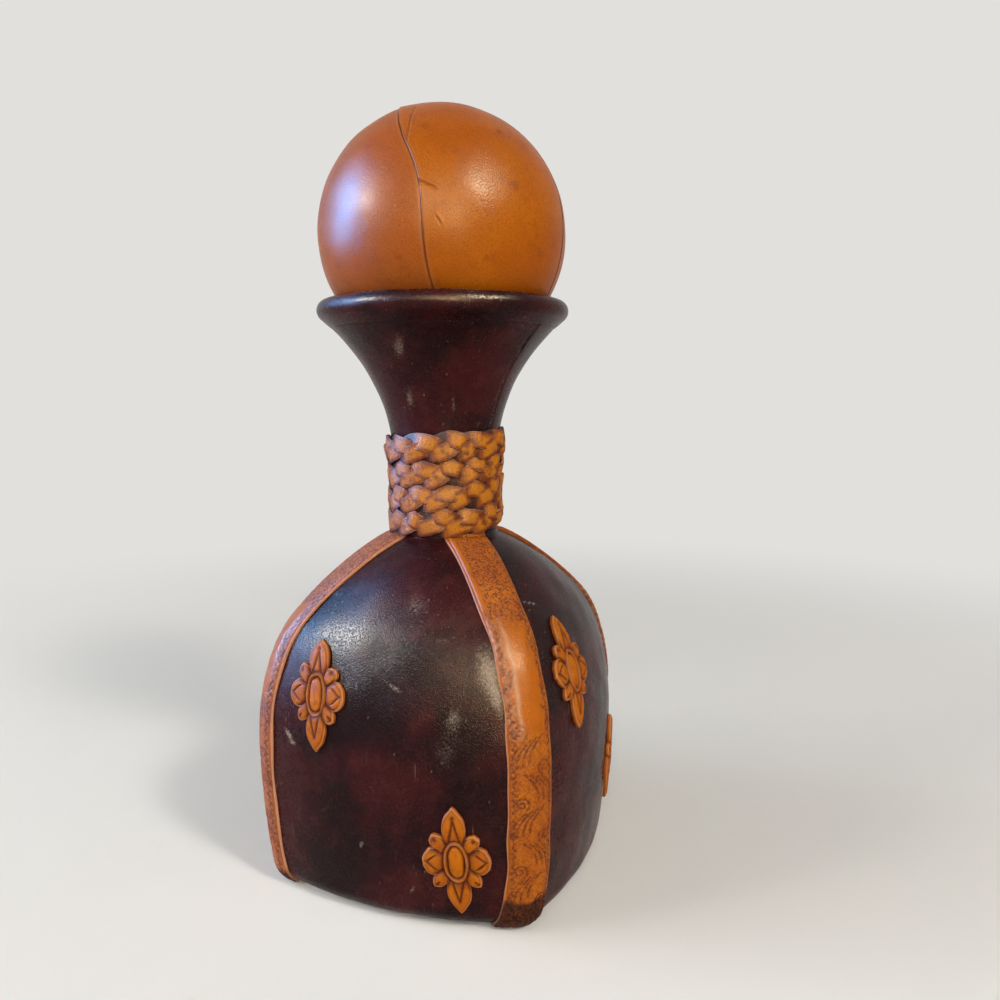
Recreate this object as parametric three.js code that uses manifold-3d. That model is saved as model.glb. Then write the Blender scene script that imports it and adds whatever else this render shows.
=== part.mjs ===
// Leather-wrapped decanter: a square glass bottle under glued leather, closed by a ball stopper.
// Millimetres, +Z up, origin at the centre of the base. The front face looks along -Y.

import * as THREE from 'three';
import { mergeVertices } from 'three/addons/utils/BufferGeometryUtils.js';
import Module from 'manifold-3d';

const wasm = await Module();
wasm.setup();

const degree = Math.PI / 180;

// Body, measured on the outside of its dark leather
const bodyHalfWidth = 65.6;
const footHalfWidth = 61.2;
const widestHeight = 57.9;
const shoulderHeight = 80;
const faceRadius = 145;
const cornerRadius = 11.4;
const squareRise = 32;
const squareFade = 1.4;
const bottomRound = 8;

// Neck and flared mouth, measured on the outside of their dark leather
const neckRadius = 20.8;
const neckFillet = 2.5;
const neckLength = 26;
const flareRise = 60.5;
const mouthRadius = 49.6;

// Walls, and the clearances between layers
const glassWall = 4;
const leatherThickness = 1.6;
const bondGap = 0.3;
const seamGap = 0.4;

// Base
const baseProud = 0.6;
const turnUnder = 8;

// Binding of the lip
const bindingOuterWidth = 7.5;
const bindingInnerWidth = 16;

// Corner straps
const strapWidth = 17.3;
const strapThickness = 1.7;
const strapFootRise = 0.15;

// Medallions: places are shares of the body's half width, from a face's middle, and of its height
const medallionLength = 40;
const medallionWidth = 24.6;
const medallionThickness = 1.5;
const medallionValley = 8.6;
const sideLobeAngle = 35 * degree;
const smallLobeAngle = 17 * degree;
const smallLobeReach = 12.9;
const leafSharpness = 0.8;
const bossLength = 15.2;
const bossWidth = 9;
const bossRise = 0.7;
const bossSlope = 0.6;
const upperAlongShare = -0.3918;
const upperHeightShare = 0.5917;
const upperTurn = -2 * degree;
const lowerAlongShare = 0.4314;
const lowerHeightShare = 0.2052;
const lowerTurn = 5 * degree;
const sideFaceRaise = 6;

// Plaited collar, wound round the neck
const plaitTurns = 3.5;
const plaitLevel = 0.25;
const plaitWidth = 9.3;
const courseGap = 0.5;
const plaitStart = -157 * degree;
const strandPeriod = 33;
const strandWidth = 2.2;
const strandThickness = 1.1;
const liftShare = 1.3;

// Ball stopper
const ballRadius = 48.45;
const goreThickness = 1.6;
const seamAngle = -76 * degree;
const goreTilt = 16 * degree;
const tiltAxisAngle = -67 * degree;
const corkSeat = 13;
const corkTaper = 0.03;
const corkSunk = 12;
const corkChamfer = 1.5;
const pegRadius = 5;
const pegLength = 44;
const pegChamfer = 0.8;

// Colours of the finishes
const oxblood = 0x34100f;
const tan = 0xb4691c;
const tanDark = 0x9c5614;
const greenGlass = 0x9fb5a4;
const woodColour = 0xb98d58;
const corkColour = 0xb58a5c;

const lerp = (from, to, share) => from + (to - from) * share;
const smooth = (share) => share * share * (3 - 2 * share);

// Closed bodies

// Shared corners merged, empty triangles dropped and faces turned outwards
function seal(geometry) {
  geometry.deleteAttribute('normal');
  geometry.deleteAttribute('uv');
  const merged = mergeVertices(geometry, 1e-4);
  const position = merged.getAttribute('position');
  const index = merged.getIndex().array;
  const kept = [];
  for (let i = 0; i < index.length; i += 3) {
    const [a, b, c] = [index[i], index[i + 1], index[i + 2]];
    if (a !== b && b !== c && c !== a) kept.push(a, b, c);
  }
  const [p, q, r] = [new THREE.Vector3(), new THREE.Vector3(), new THREE.Vector3()];
  let volume = 0;
  for (let i = 0; i < kept.length; i += 3) {
    p.fromBufferAttribute(position, kept[i]);
    q.fromBufferAttribute(position, kept[i + 1]);
    r.fromBufferAttribute(position, kept[i + 2]);
    volume += p.dot(q.cross(r));
  }
  if (volume < 0) kept.reverse();
  merged.setIndex(kept);
  merged.computeVertexNormals();
  return merged;
}

function fromCorners(points, triangles) {
  const geometry = new THREE.BufferGeometry();
  const position = points.flatMap((point) => point.toArray());
  geometry.setAttribute('position', new THREE.Float32BufferAttribute(position, 3));
  geometry.setIndex(triangles);
  return seal(geometry);
}

// A sheet between two facing grids, point(row, column, side), joined round its edges
function sheet(rows, columns, point) {
  const points = [];
  for (const side of [0, 1]) {
    for (let i = 0; i <= rows; i++) {
      for (let j = 0; j <= columns; j++) points.push(point(i, j, side));
    }
  }
  const layer = (rows + 1) * (columns + 1);
  const at = (i, j, side) => side * layer + i * (columns + 1) + j;
  const triangles = [];
  const quad = (a, b, c, d) => triangles.push(a, b, c, a, c, d);
  for (let i = 0; i < rows; i++) {
    for (let j = 0; j < columns; j++) {
      quad(at(i, j, 1), at(i, j + 1, 1), at(i + 1, j + 1, 1), at(i + 1, j, 1));
      quad(at(i + 1, j, 0), at(i + 1, j + 1, 0), at(i, j + 1, 0), at(i, j, 0));
    }
    quad(at(i, 0, 0), at(i, 0, 1), at(i + 1, 0, 1), at(i + 1, 0, 0));
    quad(at(i + 1, columns, 0), at(i + 1, columns, 1), at(i, columns, 1), at(i, columns, 0));
  }
  for (let j = 0; j < columns; j++) {
    quad(at(0, j + 1, 0), at(0, j + 1, 1), at(0, j, 1), at(0, j, 0));
    quad(at(rows, j, 0), at(rows, j, 1), at(rows, j + 1, 1), at(rows, j + 1, 0));
  }
  return fromCorners(points, triangles);
}

// A loft through closed rings of equally many points, its two ends filled from their middles
function loft(rings) {
  const count = rings[0].length;
  const points = rings.flat();
  const triangles = [];
  for (let i = 0; i + 1 < rings.length; i++) {
    for (let j = 0; j < count; j++) {
      const [a, b] = [i * count + j, i * count + (j + 1) % count];
      triangles.push(a, b, b + count, a, b + count, a + count);
    }
  }
  const fill = (ring, turned) => {
    const middle = new THREE.Vector3();
    for (let j = 0; j < count; j++) middle.addScaledVector(points[ring * count + j], 1 / count);
    points.push(middle);
    for (let j = 0; j < count; j++) {
      const [a, b] = [ring * count + j, ring * count + (j + 1) % count];
      triangles.push(points.length - 1, turned ? b : a, turned ? a : b);
    }
  };
  fill(0, true);
  fill(rings.length - 1, false);
  return fromCorners(points, triangles);
}

// A revolve about Z of a profile of [radius, height] pairs
function revolve(profile, segments) {
  const outline = profile.map(([radius, height]) => new THREE.Vector2(radius, height));
  return seal(new THREE.LatheGeometry(outline, segments).rotateX(90 * degree));
}

function toSolid(geometry) {
  return new wasm.Manifold(new wasm.Mesh({
    numProp: 3,
    vertProperties: new Float32Array(geometry.getAttribute('position').array),
    triVerts: new Uint32Array(geometry.getIndex().array),
  }));
}

function cut(geometry, ...tools) {
  const solid = tools.reduce((left, tool) => left.subtract(toSolid(tool)), toSolid(geometry));
  const mesh = solid.getMesh();
  const result = new THREE.BufferGeometry();
  result.setAttribute('position', new THREE.Float32BufferAttribute(mesh.vertProperties, 3));
  result.setIndex([...mesh.triVerts]);
  return seal(result);
}

// Stations of the leather's outer surface, from the base to the mouth.
// Each has a half width, a height, plan radii of face and corner, and the profile's outward normal.

function station(halfWidth, height, normalAngle, face, corner) {
  const bulge = face - halfWidth;
  const cornerCentre = (Math.sqrt(2 * (face - corner) ** 2 - bulge ** 2) - bulge) / 2;
  return {
    halfWidth,
    height,
    face,
    corner,
    out: Math.cos(normalAngle),
    up: Math.sin(normalAngle),
    cornerCentre,
    faceAngle: Math.atan2(cornerCentre, cornerCentre + bulge),
  };
}

const roundStation = (radius, height, normalAngle) => station(radius, height, normalAngle, radius, radius);

// Side: one arc, upright at the widest height
const sideDrop = bodyHalfWidth - footHalfWidth;
const sideRise = widestHeight - baseProud;
const sideRadius = (sideDrop ** 2 + sideRise ** 2) / (2 * sideDrop);
const sideCentre = bodyHalfWidth - sideRadius;

function sideStation(height) {
  const angle = -Math.asin((widestHeight - height) / sideRadius);
  return station(sideCentre + sideRadius * Math.cos(angle), height, angle, faceRadius, cornerRadius);
}

// Bottom edge: an arc between the side and the underside
const edgeHeight = baseProud + bottomRound;
const edgeAngle = Math.asin((widestHeight - edgeHeight) / (sideRadius - bottomRound));
const edgeCentre = sideCentre + (sideRadius - bottomRound) * Math.cos(edgeAngle);
const edgeTop = edgeCentre + bottomRound * Math.cos(edgeAngle);

// The straps are tucked round this edge until their feet are just clear of the ground
const strapTuckAngle = Math.asin((edgeHeight - strapFootRise) / (bottomRound + bondGap + strapThickness));

function edgeStation(angle) {
  const halfWidth = edgeCentre + bottomRound * Math.cos(angle);
  const height = edgeHeight + bottomRound * Math.sin(angle);
  const inset = edgeTop - halfWidth;
  return station(halfWidth, height, angle, faceRadius - inset, cornerRadius - inset);
}

// Shoulder: an ellipse from the widest height to the neck's fillet
function ellipseAt(turn) {
  return {
    halfWidth: bodyHalfWidth * Math.cos(turn),
    height: widestHeight + shoulderHeight * Math.sin(turn),
    angle: Math.atan2(Math.sin(turn) / shoulderHeight, Math.cos(turn) / bodyHalfWidth),
  };
}

let [shoulderLow, shoulderEnd] = [0, 90 * degree];
while (shoulderEnd - shoulderLow > 1e-9) {
  const middle = (shoulderLow + shoulderEnd) / 2;
  const { halfWidth, angle } = ellipseAt(middle);
  if (halfWidth + neckFillet * Math.cos(angle) > neckRadius + neckFillet) shoulderLow = middle;
  else shoulderEnd = middle;
}
const shoulderTop = ellipseAt(shoulderEnd);
const neckFoot = shoulderTop.height + neckFillet * Math.sin(shoulderTop.angle);
const squareTop = widestHeight + squareRise;

function shoulderStation(turn) {
  const { halfWidth, height, angle } = ellipseAt(turn);
  const climbed = Math.max(0, (height - squareTop) / (neckFoot - squareTop));
  const square = 1 - smooth(Math.min(1, climbed) ** squareFade);
  const face = 1 / lerp(1 / halfWidth, 1 / faceRadius, square);
  return station(halfWidth, height, angle, face, lerp(halfWidth, cornerRadius, square));
}

const bodyStation = (height) => height < widestHeight
  ? sideStation(height)
  : shoulderStation(Math.asin((height - widestHeight) / shoulderHeight));

// Fillet between shoulder and neck
const filletStation = (angle) => roundStation(
  neckRadius + neckFillet * (1 - Math.cos(angle)), neckFoot - neckFillet * Math.sin(angle), angle);

// Flare: an arc from the upright neck to the lip, whose centre lies in the middle of the wall
const flareStart = neckFoot + neckLength;
const lipHeight = flareStart + flareRise;
const lipDepth = leatherThickness + bondGap + glassWall / 2;
const lipRadius = mouthRadius - lipDepth;
const flareRun = mouthRadius - neckRadius;
const middleRadius = (flareRun ** 2 + flareRise ** 2) / (2 * flareRun);
const flareRadius = middleRadius - lipDepth;
const flareCentre = neckRadius + flareRadius;
const flareAngle = Math.atan2(flareRise, middleRadius - flareRun);

const flarePoint = (angle, depth) => [
  flareCentre - (flareRadius + depth) * Math.cos(angle),
  flareStart + (flareRadius + depth) * Math.sin(angle),
];

const lipPoint = (turn, radius) => [
  lipRadius + radius * Math.cos(turn - flareAngle),
  lipHeight + radius * Math.sin(turn - flareAngle),
];

const steps = (from, to, count) => Array.from({ length: count + 1 }, (_, i) => lerp(from, to, i / count));

const sideRows = 2;
const shoulderRows = 7;
const filletRows = 2;
const flareRows = 4;
const lipTurns = [45, 90, 135].map((turn) => turn * degree);
const edgeStations = [-90 * degree, -strapTuckAngle, -strapTuckAngle / 2, -edgeAngle].map(edgeStation);
const sideTop = edgeStations.at(-1).height;
const sideStations = steps(sideTop, widestHeight, sideRows).slice(1).map(sideStation);
const shoulderStations = steps(0, shoulderEnd, shoulderRows).slice(1).map(shoulderStation);
const filletStations = steps(shoulderTop.angle, 0, filletRows).slice(1).map(filletStation);
const wallStations = [...edgeStations, ...sideStations, ...shoulderStations];
const bindingStart = flareAngle - bindingOuterWidth / flareRadius;
const flareAngles = steps(0, bindingStart, flareRows);
const flareStations = [...flareAngles, flareAngle]
  .map((angle) => roundStation(...flarePoint(angle, 0), -angle));

// Plan angle of the surface's normal at a distance round the section from the corner
function anglePastCorner(at, distance) {
  const cornerSpan = at.corner * (45 * degree - at.faceAngle);
  return distance <= cornerSpan
    ? 45 * degree - distance / at.corner
    : at.faceAngle - (distance - cornerSpan) / at.face;
}

const halfFace = (at) => at.corner * (45 * degree - at.faceAngle) + at.face * at.faceAngle;

// A point on a face or its corners, offset along the surface's normal. Face 0 looks along +X.
const faceNames = ['right', 'back', 'left', 'front'];
const upright = new THREE.Vector3(0, 0, 1);

function surfacePoint(at, angle, offset, face) {
  const shift = offset * at.out;
  const onFace = Math.abs(angle) <= at.faceAngle;
  const radius = (onFace ? at.face : at.corner) + shift;
  const centreX = onFace ? at.halfWidth - at.face : at.cornerCentre;
  const centreY = onFace ? 0 : Math.sign(angle) * at.cornerCentre;
  const x = centreX + radius * Math.cos(angle);
  const y = centreY + radius * Math.sin(angle);
  return new THREE.Vector3(x, y, at.height + offset * at.up).applyAxisAngle(upright, face * 90 * degree);
}

// Plan angles across one face, from corner to corner, with lines under the straps' edges
const openColumns = 3;

function faceAngles(at, start) {
  const half = strapWidth / 2;
  const distances = [start, half / 2, ...steps(half, halfFace(at), openColumns)];
  const angles = distances.map((distance) => anglePastCorner(at, distance));
  return [...angles.map((angle) => -angle), ...angles.slice(0, -1).reverse()];
}

function ring(at, offset, angles = faceAngles(at, 0)) {
  return [...faceNames.keys()].flatMap((face) =>
    angles.slice(0, -1).map((angle) => surfacePoint(at, angle, offset, face)));
}

// Glass bottle

const glassOutside = -(leatherThickness + bondGap);
const glassInside = glassOutside - glassWall;

function glassBottle() {
  const evenAngles = steps(-45 * degree, 45 * degree, 2 * (openColumns + 2));
  const wall = (offset) => [
    ...[...wallStations, ...filletStations].map((at) => ring(at, offset)),
    ...flareStations.map((at) => ring(at, offset, evenAngles)),
  ];
  const lip = lipTurns.map((turn) => {
    const [radius, height] = lipPoint(turn, glassWall / 2);
    return ring(roundStation(radius, height, 0), 0, evenAngles);
  });
  return loft([...wall(glassOutside), ...lip, ...wall(glassInside).reverse()]);
}

// Dark leather panels, one for each face, turned under the base

const [edgeFoot] = edgeStations;
const underEdge = station(edgeCentre - turnUnder, baseProud, -90 * degree, edgeFoot.face, edgeFoot.corner);
const panelStations = [underEdge, ...wallStations, ...filletStations];

function bodyPanel(face) {
  const angles = panelStations.map((at) => faceAngles(at, seamGap / 2));
  const columns = angles[0].length - 1;
  return sheet(panelStations.length - 1, columns, (i, j, side) =>
    surfacePoint(panelStations[i], angles[i][j], side ? 0 : -leatherThickness, face));
}

// Base pad inside the turned-under edges

function basePad() {
  const outline = ring({ ...underEdge, out: 1, up: 0 }, -bondGap);
  const atHeight = (height) => outline.map((point) => point.clone().setZ(height));
  return loft([atHeight(0), atHeight(baseProud + leatherThickness)]);
}

// Neck cover and lip binding

const turnedSegments = 36;
const bindingRows = 2;
const coverEnd = bindingStart - seamGap / flareRadius;

function neckCover() {
  const wall = (depth) => [
    [neckRadius - depth, neckFoot + seamGap],
    ...[...flareAngles.slice(0, -1), coverEnd].map((angle) => flarePoint(angle, depth)),
  ];
  const profile = [...wall(0), ...wall(leatherThickness).reverse()];
  return revolve([...profile, profile[0]], turnedSegments);
}

function lipBinding() {
  const innerEnd = flareAngle - bindingInnerWidth / (flareRadius + 2 * lipDepth);
  const layer = (under) => [
    flarePoint(bindingStart, under),
    ...[0, ...lipTurns, 180 * degree].map((turn) => lipPoint(turn, lipDepth - under)),
    ...steps(flareAngle, innerEnd, bindingRows).slice(1)
      .map((angle) => flarePoint(angle, 2 * lipDepth - under)),
  ];
  const profile = [...layer(0), ...layer(leatherThickness).reverse()];
  return revolve([...profile, profile[0]], turnedSegments);
}

// Corner straps, from under the collar to below the bottom edge

function cornerStrap(corner) {
  const rows = wallStations.slice(1);
  const across = steps(-strapWidth / 2, strapWidth / 2, 4);
  return sheet(rows.length - 1, across.length - 1, (i, j, side) => {
    const angle = anglePastCorner(rows[i], Math.abs(across[j]));
    const offset = bondGap + side * strapThickness;
    return across[j] <= 0
      ? surfacePoint(rows[i], angle, offset, corner)
      : surfacePoint(rows[i], -angle, offset, corner + 1);
  });
}

// Medallions: two pointed leaves, two side lobes and four small lobes round an oval boss

const roundLobe = (share) => Math.sqrt(1 - share ** 2);
const pointedLobe = (share) => (1 - Math.abs(share)) ** leafSharpness;
const sideLobe = {
  reach: medallionWidth / 2,
  half: sideLobeAngle,
  samples: [-1, -0.8, -0.4, 0, 0.4, 0.8],
  bump: roundLobe,
};
const smallLobe = {
  reach: smallLobeReach,
  half: smallLobeAngle,
  samples: [-1, -0.6, 0, 0.6],
  bump: roundLobe,
};
const leaf = {
  reach: medallionLength / 2,
  half: 90 * degree - sideLobeAngle - 2 * smallLobeAngle,
  samples: [-1, -0.6, -0.25, 0, 0.25, 0.6],
  bump: pointedLobe,
};

function medallionOutline() {
  const outline = [];
  let middle = 0;
  const order = [sideLobe, smallLobe, leaf, smallLobe, sideLobe, smallLobe, leaf, smallLobe];
  order.forEach((lobe, place) => {
    if (place > 0) middle += order[place - 1].half + lobe.half;
    for (const share of lobe.samples) {
      const reach = lerp(medallionValley, lobe.reach, lobe.bump(share));
      outline.push({ angle: middle + share * lobe.half, reach });
    }
  });
  return outline;
}

function medallion(face, alongShare, heightShare, turn) {
  const along = alongShare * bodyHalfWidth;
  const raise = face % 2 === 0 ? sideFaceRaise : 0;
  const height = heightShare * (widestHeight + shoulderHeight) + raise;
  const outline = medallionOutline();
  const count = outline.length;
  const centre = bodyStation(height);
  const place = (radius, angle, offset) => {
    const at = bodyStation(height + radius * Math.sin(angle + turn) * centre.out);
    const round = (along + radius * Math.cos(angle + turn)) / at.face;
    return surfacePoint(at, round, offset, face);
  };
  const oval = (angle, grow) => 1 / Math.hypot(
    Math.cos(angle) / (bossWidth / 2 + grow), Math.sin(angle) / (bossLength / 2 + grow));
  const under = bondGap;
  const top = under + medallionThickness;
  const rings = [
    ({ angle }) => place(oval(angle, 0), angle, under),
    ({ angle, reach }) => place(reach, angle, under),
    ({ angle, reach }) => place(reach, angle, top),
    ({ angle }) => place(oval(angle, bossSlope), angle, top),
    ({ angle }) => place(oval(angle, 0), angle, top + bossRise),
  ].map((edge) => outline.map(edge));
  const points = [...rings.flat(), place(0, 0, under), place(0, 0, top + bossRise)];
  const [underMiddle, topMiddle] = [points.length - 2, points.length - 1];
  const triangles = [];
  for (let j = 0; j < count; j++) {
    const next = (j + 1) % count;
    triangles.push(underMiddle, next, j);
    for (let i = 0; i + 1 < rings.length; i++) {
      const [a, b] = [i * count + j, i * count + next];
      triangles.push(a, b, b + count, a, b + count, a + count);
    }
    const last = (rings.length - 1) * count;
    triangles.push(topMiddle, last + j, last + next);
  }
  return fromCorners(points, triangles);
}

// Plaited collar: three flat thongs over and under each other, wound as one band round the neck.
// Each swings across the band once a period, and rises and dips twice.

const coursePitch = plaitWidth + courseGap;
const collarFoot = neckFoot + bondGap;
const strandSwing = (plaitWidth - strandWidth) / 2;
const strandLift = liftShare * strandThickness;
const strandSteps = 12;

const neckSurface = (height) =>
  flareCentre - Math.sqrt(flareRadius ** 2 - Math.max(0, height - flareStart) ** 2);

function strandPath(strand) {
  const circumference = 2 * Math.PI * (neckRadius + strandLift);
  const periods = Math.round(plaitTurns * circumference / strandPeriod);
  const count = periods * strandSteps;
  const path = [];
  for (let i = 0; i <= count; i++) {
    const turn = plaitTurns * i / count;
    const rise = coursePitch * (turn - plaitLevel);
    const topRise = coursePitch * (plaitTurns - 2 * plaitLevel);
    const low = collarFoot + Math.max(0, rise);
    const high = collarFoot + plaitWidth + Math.min(topRise, rise);
    const fill = (high - low) / plaitWidth;
    const phase = (periods * i / count + strand / 3) * 360 * degree;
    const height = (low + high) / 2 + strandSwing * fill * Math.sin(phase);
    const width = strandWidth * fill;
    const seat = neckSurface(high) + bondGap + strandThickness / 2;
    path.push({
      angle: plaitStart + turn * 360 * degree,
      height,
      width,
      radius: seat + strandLift * (1 - Math.sin(2 * phase)),
    });
  }
  return path;
}

function strandSection(path, i) {
  const [before, after] = [path[Math.max(0, i - 1)], path[Math.min(path.length - 1, i + 1)]];
  const { angle, height, radius, width } = path[i];
  const slope = Math.atan2(after.height - before.height, (after.angle - before.angle) * radius);
  const corners = [[-1, -1], [1, -1], [1, 1], [-1, 1]];
  return corners.map(([across, out]) => {
    const aside = -across * width / 2 * Math.sin(slope) / radius;
    const reach = radius + out * strandThickness / 2;
    const level = height + across * width / 2 * Math.cos(slope);
    return new THREE.Vector3(reach * Math.cos(angle + aside), reach * Math.sin(angle + aside), level);
  });
}

const strandPaths = [0, 1, 2].map(strandPath);
const strandRings = strandPaths.map((path) => path.map((_, i) => strandSection(path, i)));

// Least distance between points of the thongs, apart from points near each other along one thong
function leastStrandGap() {
  const sharesAcross = [0, 1 / 4, 2 / 4, 3 / 4];
  const sharesAlong = [0, 1 / 3, 2 / 3];
  const dense = strandRings.map((rings) => rings.flatMap((corners, i) => corners.flatMap((corner, c) => {
    const next = rings[Math.min(i + 1, rings.length - 1)];
    const beside = (c + 1) % corners.length;
    return sharesAcross.flatMap((u) => sharesAlong.map((v) => ({
      step: i + v,
      point: corner.clone().lerp(corners[beside], u).lerp(next[c].clone().lerp(next[beside], u), v),
    })));
  })));
  let least = Infinity;
  for (let first = 0; first < dense.length; first++) {
    for (let second = first; second < dense.length; second++) {
      for (const one of dense[first]) {
        for (const two of dense[second]) {
          if (first === second && Math.abs(one.step - two.step) < strandSteps) continue;
          if (Math.abs(one.point.z - two.point.z) > least) continue;
          least = Math.min(least, one.point.distanceTo(two.point));
        }
      }
    }
  }
  return least;
}

// Ball stopper: a wooden ball under four gores, on a peg and a tapered cork

const seatDepth = flareRadius + 2 * lipDepth;
const flankRise = Math.sqrt((ballRadius + seatDepth + bondGap) ** 2 - flareCentre ** 2);
const lipRise = Math.sqrt((ballRadius + lipDepth + bondGap) ** 2 - lipRadius ** 2);
const onFlank = Math.atan2(flankRise, flareCentre) <= flareAngle;
const ballHeight = onFlank ? flareStart + flankRise : lipHeight + lipRise;
const boreRadius = neckRadius + glassInside;
const corkRadius = (height) => boreRadius - bondGap + corkTaper * (height - flareStart);
const corkFoot = flareStart - corkSeat;
const corkTop = ballHeight - ballRadius + corkSunk;
const pegFoot = corkTop - pegLength / 2;
const pegTop = corkTop + pegLength / 2;
const coreRadius = ballRadius - goreThickness - bondGap;
const goreColumns = 6;
const goreRows = 12;

function tilt(geometry) {
  const axis = new THREE.Vector3(Math.cos(tiltAxisAngle), Math.sin(tiltAxisAngle), 0);
  geometry.applyMatrix4(new THREE.Matrix4().makeRotationAxis(axis, goreTilt));
  return geometry.translate(0, 0, ballHeight);
}

const drill = (radius, from, to) =>
  seal(new THREE.CylinderGeometry(radius, radius, to - from, turnedSegments)
    .rotateX(90 * degree)
    .translate(0, 0, (from + to) / 2));

const corkHole = () => drill(corkRadius(corkTop) + bondGap, corkFoot, corkTop + bondGap);

function stopperCore() {
  const ball = new THREE.SphereGeometry(coreRadius, 4 * goreColumns, goreRows)
    .rotateX(90 * degree)
    .rotateZ(seamAngle);
  return cut(tilt(seal(ball)), corkHole(), drill(pegRadius + bondGap, corkTop, pegTop + bondGap));
}

function stopperGore(quarter) {
  const halfGap = seamGap / 2;
  const tip = Math.asin(halfGap * Math.SQRT2 / ballRadius);
  const polar = steps(0, 180 * degree, goreRows);
  polar[0] = tip;
  polar[goreRows] = 180 * degree - tip;
  const gore = sheet(goreRows, goreColumns, (i, j, side) => {
    const inset = Math.asin(Math.min(Math.SQRT1_2, halfGap / (ballRadius * Math.sin(polar[i]))));
    const round = seamAngle + quarter * 90 * degree + lerp(inset, 90 * degree - inset, j / goreColumns);
    const radius = side ? ballRadius : ballRadius - goreThickness;
    return new THREE.Vector3().setFromSphericalCoords(radius, polar[i], 0)
      .applyAxisAngle(new THREE.Vector3(1, 0, 0), 90 * degree)
      .applyAxisAngle(upright, round + 90 * degree);
  });
  return cut(tilt(gore), corkHole());
}

function stopperCork() {
  return revolve([
    [0, corkFoot],
    [corkRadius(corkFoot) - corkChamfer, corkFoot],
    [corkRadius(corkFoot), corkFoot + corkChamfer],
    [corkRadius(corkTop), corkTop],
    [pegRadius + bondGap, corkTop],
    [pegRadius + bondGap, pegFoot - bondGap],
    [0, pegFoot - bondGap],
  ], turnedSegments);
}

function stopperPeg() {
  return revolve([
    [0, pegFoot],
    [pegRadius - pegChamfer, pegFoot],
    [pegRadius, pegFoot + pegChamfer],
    [pegRadius, pegTop - pegChamfer],
    [pegRadius - pegChamfer, pegTop],
    [0, pegTop],
  ], turnedSegments / 2);
}

// Assembly

const decanter = new THREE.Group();
const bottle = new THREE.Group();
const stopper = new THREE.Group();
decanter.add(bottle, stopper);

function add(group, name, geometry, color, roughness) {
  const mesh = new THREE.Mesh(geometry, new THREE.MeshStandardMaterial({ color, roughness, metalness: 0 }));
  mesh.name = name;
  group.add(mesh);
}

add(bottle, 'glass_bottle', glassBottle(), greenGlass, 0.1);
add(bottle, 'base_pad', basePad(), oxblood, 0.8);
add(bottle, 'neck_cover', neckCover(), oxblood, 0.35);
add(bottle, 'lip_binding', lipBinding(), oxblood, 0.35);
faceNames.forEach((name, face) => {
  add(bottle, `body_panel_${name}`, bodyPanel(face), oxblood, 0.35);
  add(bottle, `corner_strap_${face + 1}`, cornerStrap(face), tan, 0.5);
  const upper = medallion(face, upperAlongShare, upperHeightShare, upperTurn);
  add(bottle, `medallion_${name}_upper`, upper, tanDark, 0.5);
  const lower = medallion(face, lowerAlongShare, lowerHeightShare, lowerTurn);
  add(bottle, `medallion_${name}_lower`, lower, tanDark, 0.5);
});
strandRings.forEach((rings, strand) => {
  add(bottle, `plait_strand_${strand + 1}`, loft(rings), tan, 0.5);
});

add(stopper, 'stopper_core', stopperCore(), woodColour, 0.7);
for (const quarter of [0, 1, 2, 3]) {
  add(stopper, `stopper_gore_${quarter + 1}`, stopperGore(quarter), tan, 0.4);
}
add(stopper, 'stopper_cork', stopperCork(), corkColour, 0.9);
add(stopper, 'stopper_peg', stopperPeg(), woodColour, 0.7);

console.log(`least gap between the turns and thongs of the plait: ${leastStrandGap().toFixed(2)} mm`);

export default decanter;
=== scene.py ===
# Leather-wrapped decanter: the looks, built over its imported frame.
# Sizes in the dictionaries are in millimetres and angles in degrees; meshes are in metres.
# The front looks along -Y.
import math
from types import SimpleNamespace

import bmesh
import bpy
import numpy as np
from mathutils import Matrix, Vector, kdtree


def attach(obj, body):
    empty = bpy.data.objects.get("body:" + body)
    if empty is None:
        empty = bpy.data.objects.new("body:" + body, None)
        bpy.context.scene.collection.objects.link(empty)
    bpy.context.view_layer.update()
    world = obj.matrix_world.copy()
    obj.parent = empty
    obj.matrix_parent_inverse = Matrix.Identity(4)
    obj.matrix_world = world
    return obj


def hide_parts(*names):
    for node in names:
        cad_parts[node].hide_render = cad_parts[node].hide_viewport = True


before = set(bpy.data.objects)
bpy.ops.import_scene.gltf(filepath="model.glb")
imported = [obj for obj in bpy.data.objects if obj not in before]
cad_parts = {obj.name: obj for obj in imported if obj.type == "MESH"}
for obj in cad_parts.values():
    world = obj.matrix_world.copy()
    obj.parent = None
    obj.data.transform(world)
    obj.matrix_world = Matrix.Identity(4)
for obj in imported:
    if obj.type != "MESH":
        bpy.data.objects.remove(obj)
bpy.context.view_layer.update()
scene = bpy.context.scene
scene.view_settings.view_transform = "Standard"
mm = 0.001
degree = math.pi / 180
fullTurn = 2 * math.pi


def sumOf(operation, swapped=False):
    def work(self, other=0.0):
        first, second = (other, self) if swapped else (self, other)
        return self.tree.add("ShaderNodeMath", {"operation": operation}, {0: first, 1: second})
    return work


class Wire:     # a node's output, which takes part in sums
    def __init__(self, tree, node, output):
        self.tree = tree
        self.node = node
        self.socket = node.outputs[output]

    def other(self, output):
        return Wire(self.tree, self.node, output)

    __add__ = __radd__ = sumOf("ADD")
    __sub__ = sumOf("SUBTRACT")
    __rsub__ = sumOf("SUBTRACT", swapped=True)
    __mul__ = __rmul__ = sumOf("MULTIPLY")
    __truediv__ = sumOf("DIVIDE")
    __pow__ = sumOf("POWER")
    sine = sumOf("SINE")
    cosine = sumOf("COSINE")
    size = sumOf("ABSOLUTE")
    sign = sumOf("SIGN")
    atLeast = sumOf("MAXIMUM")
    atMost = sumOf("MINIMUM")


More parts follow.
